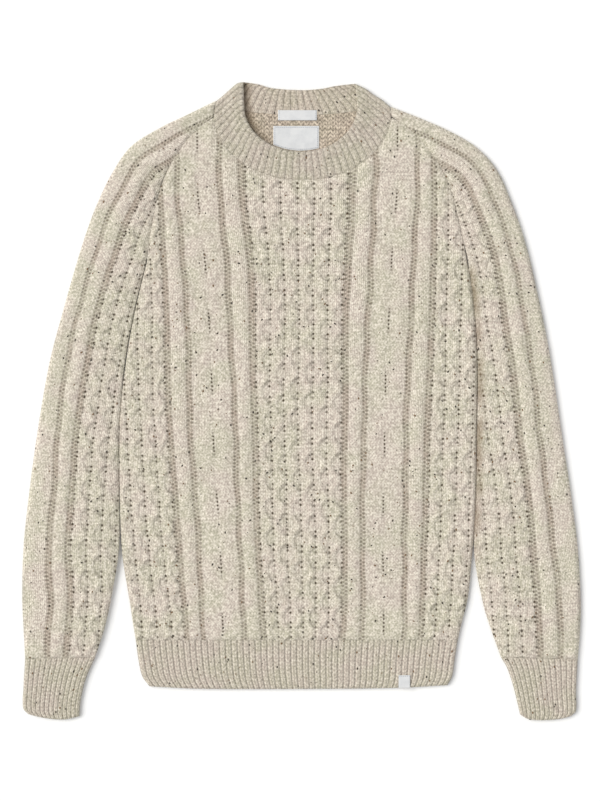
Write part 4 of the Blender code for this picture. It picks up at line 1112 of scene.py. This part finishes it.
def threadTree():
    # machine stitches: short rounded lengths of thread along a line
    tree, given, add = nodesTree("thread_stitches", threadSizes)
    line = add("GeometryNodeMeshToCurve", {0: given["Geometry"]})
    points = add("GeometryNodeCurveToPoints", {0: line, "Length": given["Spacing"]}, mode="LENGTH")
    stitch = add("GeometryNodeMeshUVSphere", {"Segments": 6, "Rings": 4, "Radius": 1.0})
    scale = add("CombineXYZ", {0: given["Length"], 1: given["Width"], 2: given["Width"]})
    turned = add("FunctionNodeAlignRotationToVector", {"Vector": points.node.outputs["Tangent"]}, axis="X")
    placed = add("GeometryNodeInstanceOnPoints",
                     {"Points": points, "Instance": stitch, "Rotation": turned, "Scale": scale})
    endTree(tree, given, add, placed)
    return tree


def lineMesh(name, lines):
    # lines of points as the edges of one mesh, in metres
    points, edges = [], []
    for line in lines:
        first = len(points)
        points += [tuple(mm * value for value in point) for point in line]
        edges += [(k, k + 1) for k in range(first, len(points) - 1)]
    mesh = bpy.data.meshes.new(name)
    mesh.from_pydata(points, edges, [])
    return mesh


def plainMaterial(name, hexColour, fuzz):
    # dyed wool pellets or polyester thread: dull, with a little unevenness in the dye
    material, tree, shader, add = newMaterial(name)
    place = add("TexCoord", out="Object")
    uneven = add("TexNoise", {"Vector": place, "Scale": 400.0, "Detail": 2.0}, out="Fac")
    full = linear(hexColour)
    pale = (*[min(1.0, value * 1.5) for value in full[:3]], 1)
    colour = add("Mix", {0: uneven, 6: full, 7: pale}, **mixed)
    bump = add("Bump", {"Strength": 0.4, "Distance": 0.0002, "Height": uneven})
    setInputs(tree, shader, {"Base Color": colour, "Normal": bump, "Roughness": fuzz})
    return material


def joinedWool(sources):
    # one mesh of all the wool, only to scatter on
    mesh = bmesh.new()
    for source in sources:
        mesh.from_mesh(source.data)
    whole = bpy.data.meshes.new("all_wool")
    mesh.to_mesh(whole)
    mesh.free()
    return whole


wool = [front, sleeveMinusX, sleevePlusX, hemBand, cuffMinusX, cuffPlusX, neckBand]
scatterOn = joinedWool(wool)
neps = nepTree()
darkNeps = runTree("neps_charcoal", neps, scatterOn, nepSizes,
                   plainMaterial("charcoal_nep", "3F3A33", 0.95))
brownNeps = runTree("neps_brown", neps, scatterOn, dict(nepSizes, Density=1100.0, Seed=23),
                    plainMaterial("brown_nep", "6E5740", 0.95))


def labelBorder(sizes, inset, spacing=1.0):
    # a line just inside a label's edge, on its top
    high = sizes["low"] + labelSizes["thick"] + 0.05
    left, right, top = sizes["left"] + inset, sizes["right"] - inset, sizes["top"] - inset
    x = np.arange(left, right, spacing)
    low = lowEdge(sizes, x) + inset
    places = [*zip(x, low), (right, top), (left, top), (x[0], low[0])]
    return [(*place, high) for place in places]


small, tab = labelSizes["small"], labelSizes["hem"]
smallTop, tabTop = (sizes["low"] + labelSizes["thick"] for sizes in (small, tab))
threads = threadTree()
seams = [labelBorder(labelSizes["neck"], 1.6)]
for x in (small["left"] + 1.3, small["right"] - 1.3):
    seams.append([(x, y, smallTop) for y in (small["bottom"] + 1, small["top"] - 1)])
seams.append([(x, tab["top"] - 1.2, tabTop) for x in (tab["left"] + 1, tab["right"] - 1)])
labelStitches = runTree("label_stitches", threads, lineMesh("label_seams", seams), threadSizes,
                        plainMaterial("grey_thread", "A2A6AC", 0.6))
print("neps and stitches are placed")

stands = (
    # piece, CAD node, slot, flat width, flat length, share of that rectangle, held, rests on
    (front, "front_panel", "wool", 0.418, 0.612, 0.80, "laid", "back_knit"),
    (back, "back_panel", "wool", 0.418, 0.631, 0.82, "laid", "floor"),
    (sleeveMinusX, "sleeve_right", "wool", 0.226, 0.690, 0.83, "folded", "floor"),
    (sleevePlusX, "sleeve_left", "wool", 0.236, 0.690, 0.83, "folded", "floor"),
    (hemBand, "hem_band", "rib", 0.750, 0.057, 0.95, "folded", "floor"),
    (cuffMinusX, "cuff_right", "rib", 0.160, 0.072, 0.95, "folded", "floor"),
    (cuffPlusX, "cuff_left", "rib", 0.160, 0.072, 0.95, "folded", "floor"),
    (neckBand, "neckband", "rib", 0.560, 0.031, 0.95, "folded", "back_knit"),
    (neckLabel, "neck_label", "tape", 0.0535, 0.030, 0.95, "laid", "back_knit"),
    (smallLabel, "small_label", "tape", 0.0455, 0.012, 1.0, "laid", "back_knit"),
    (hemTab, "hem_tab", "tape", 0.0135, 0.015, 1.0, "laid", "hem_knit"),
)

# White paper under soft window light, seen from straight above. Lengths are in metres.
studio = {
    "cameraHeight": 3.0,
    "centre": (-0.001755, 0.000585),
    "viewHeight": 0.9372,
    "sweaterHeight": 0.006,
    "worldStrength": 0.62,
    "sunStrength": 2.3,
    "sunAngle": 40,
    "sunFrom": (-0.64, 0.16, 0.75),
}

floorMesh = bpy.data.meshes.new("floor")
floorMesh.from_pydata([(-6, -6, 0), (6, -6, 0), (6, 6, 0), (-6, 6, 0)], [], [(0, 1, 2, 3)])
floor = addObject("floor", floorMesh)
paper, paperTree, paperShader, _ = newMaterial("white_paper")
setInputs(paperTree, paperShader, {"Base Color": (0.93, 0.93, 0.93, 1), "Roughness": 0.9})
floorMesh.materials.append(paper)
floor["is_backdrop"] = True

world = bpy.data.worlds.new("studio")
world.use_nodes = True
setInputs(world.node_tree, world.node_tree.nodes["Background"],
          {"Color": (0.98, 0.99, 1.0, 1), "Strength": studio["worldStrength"]})
bpy.context.scene.world = world
sunLight = bpy.data.lights.new("window_light", "SUN")
sunLight.energy = studio["sunStrength"]
sunLight.angle = math.radians(studio["sunAngle"])
sunLight.color = (1.0, 0.985, 0.96)
sun = addObject("window_light", sunLight)
sun.rotation_euler = Vector(studio["sunFrom"]).to_track_quat("Z", "Y").to_euler()

cameraData = bpy.data.cameras.new("camera")
cameraData.sensor_width = 36
cameraData.lens = 36 * (studio["cameraHeight"] - studio["sweaterHeight"]) / studio["viewHeight"]
camera = addObject("camera", cameraData)
camera.location = (*studio["centre"], studio["cameraHeight"])
bpy.context.scene.camera = camera
bpy.context.scene.view_settings.view_transform = "Standard"
print("studio is lit")

for piece, node, slot, wide, long, share, held, restsOn in stands:
    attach(piece, "root")
    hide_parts(node)

for piece, slot in ((darkNeps, "wool"), (brownNeps, "wool"), (labelStitches, "tape")):
    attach(piece, "root")

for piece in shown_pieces():
    print(piece.name, sum(len(p.vertices) - 2 for p in piece.data.polygons), "triangles")
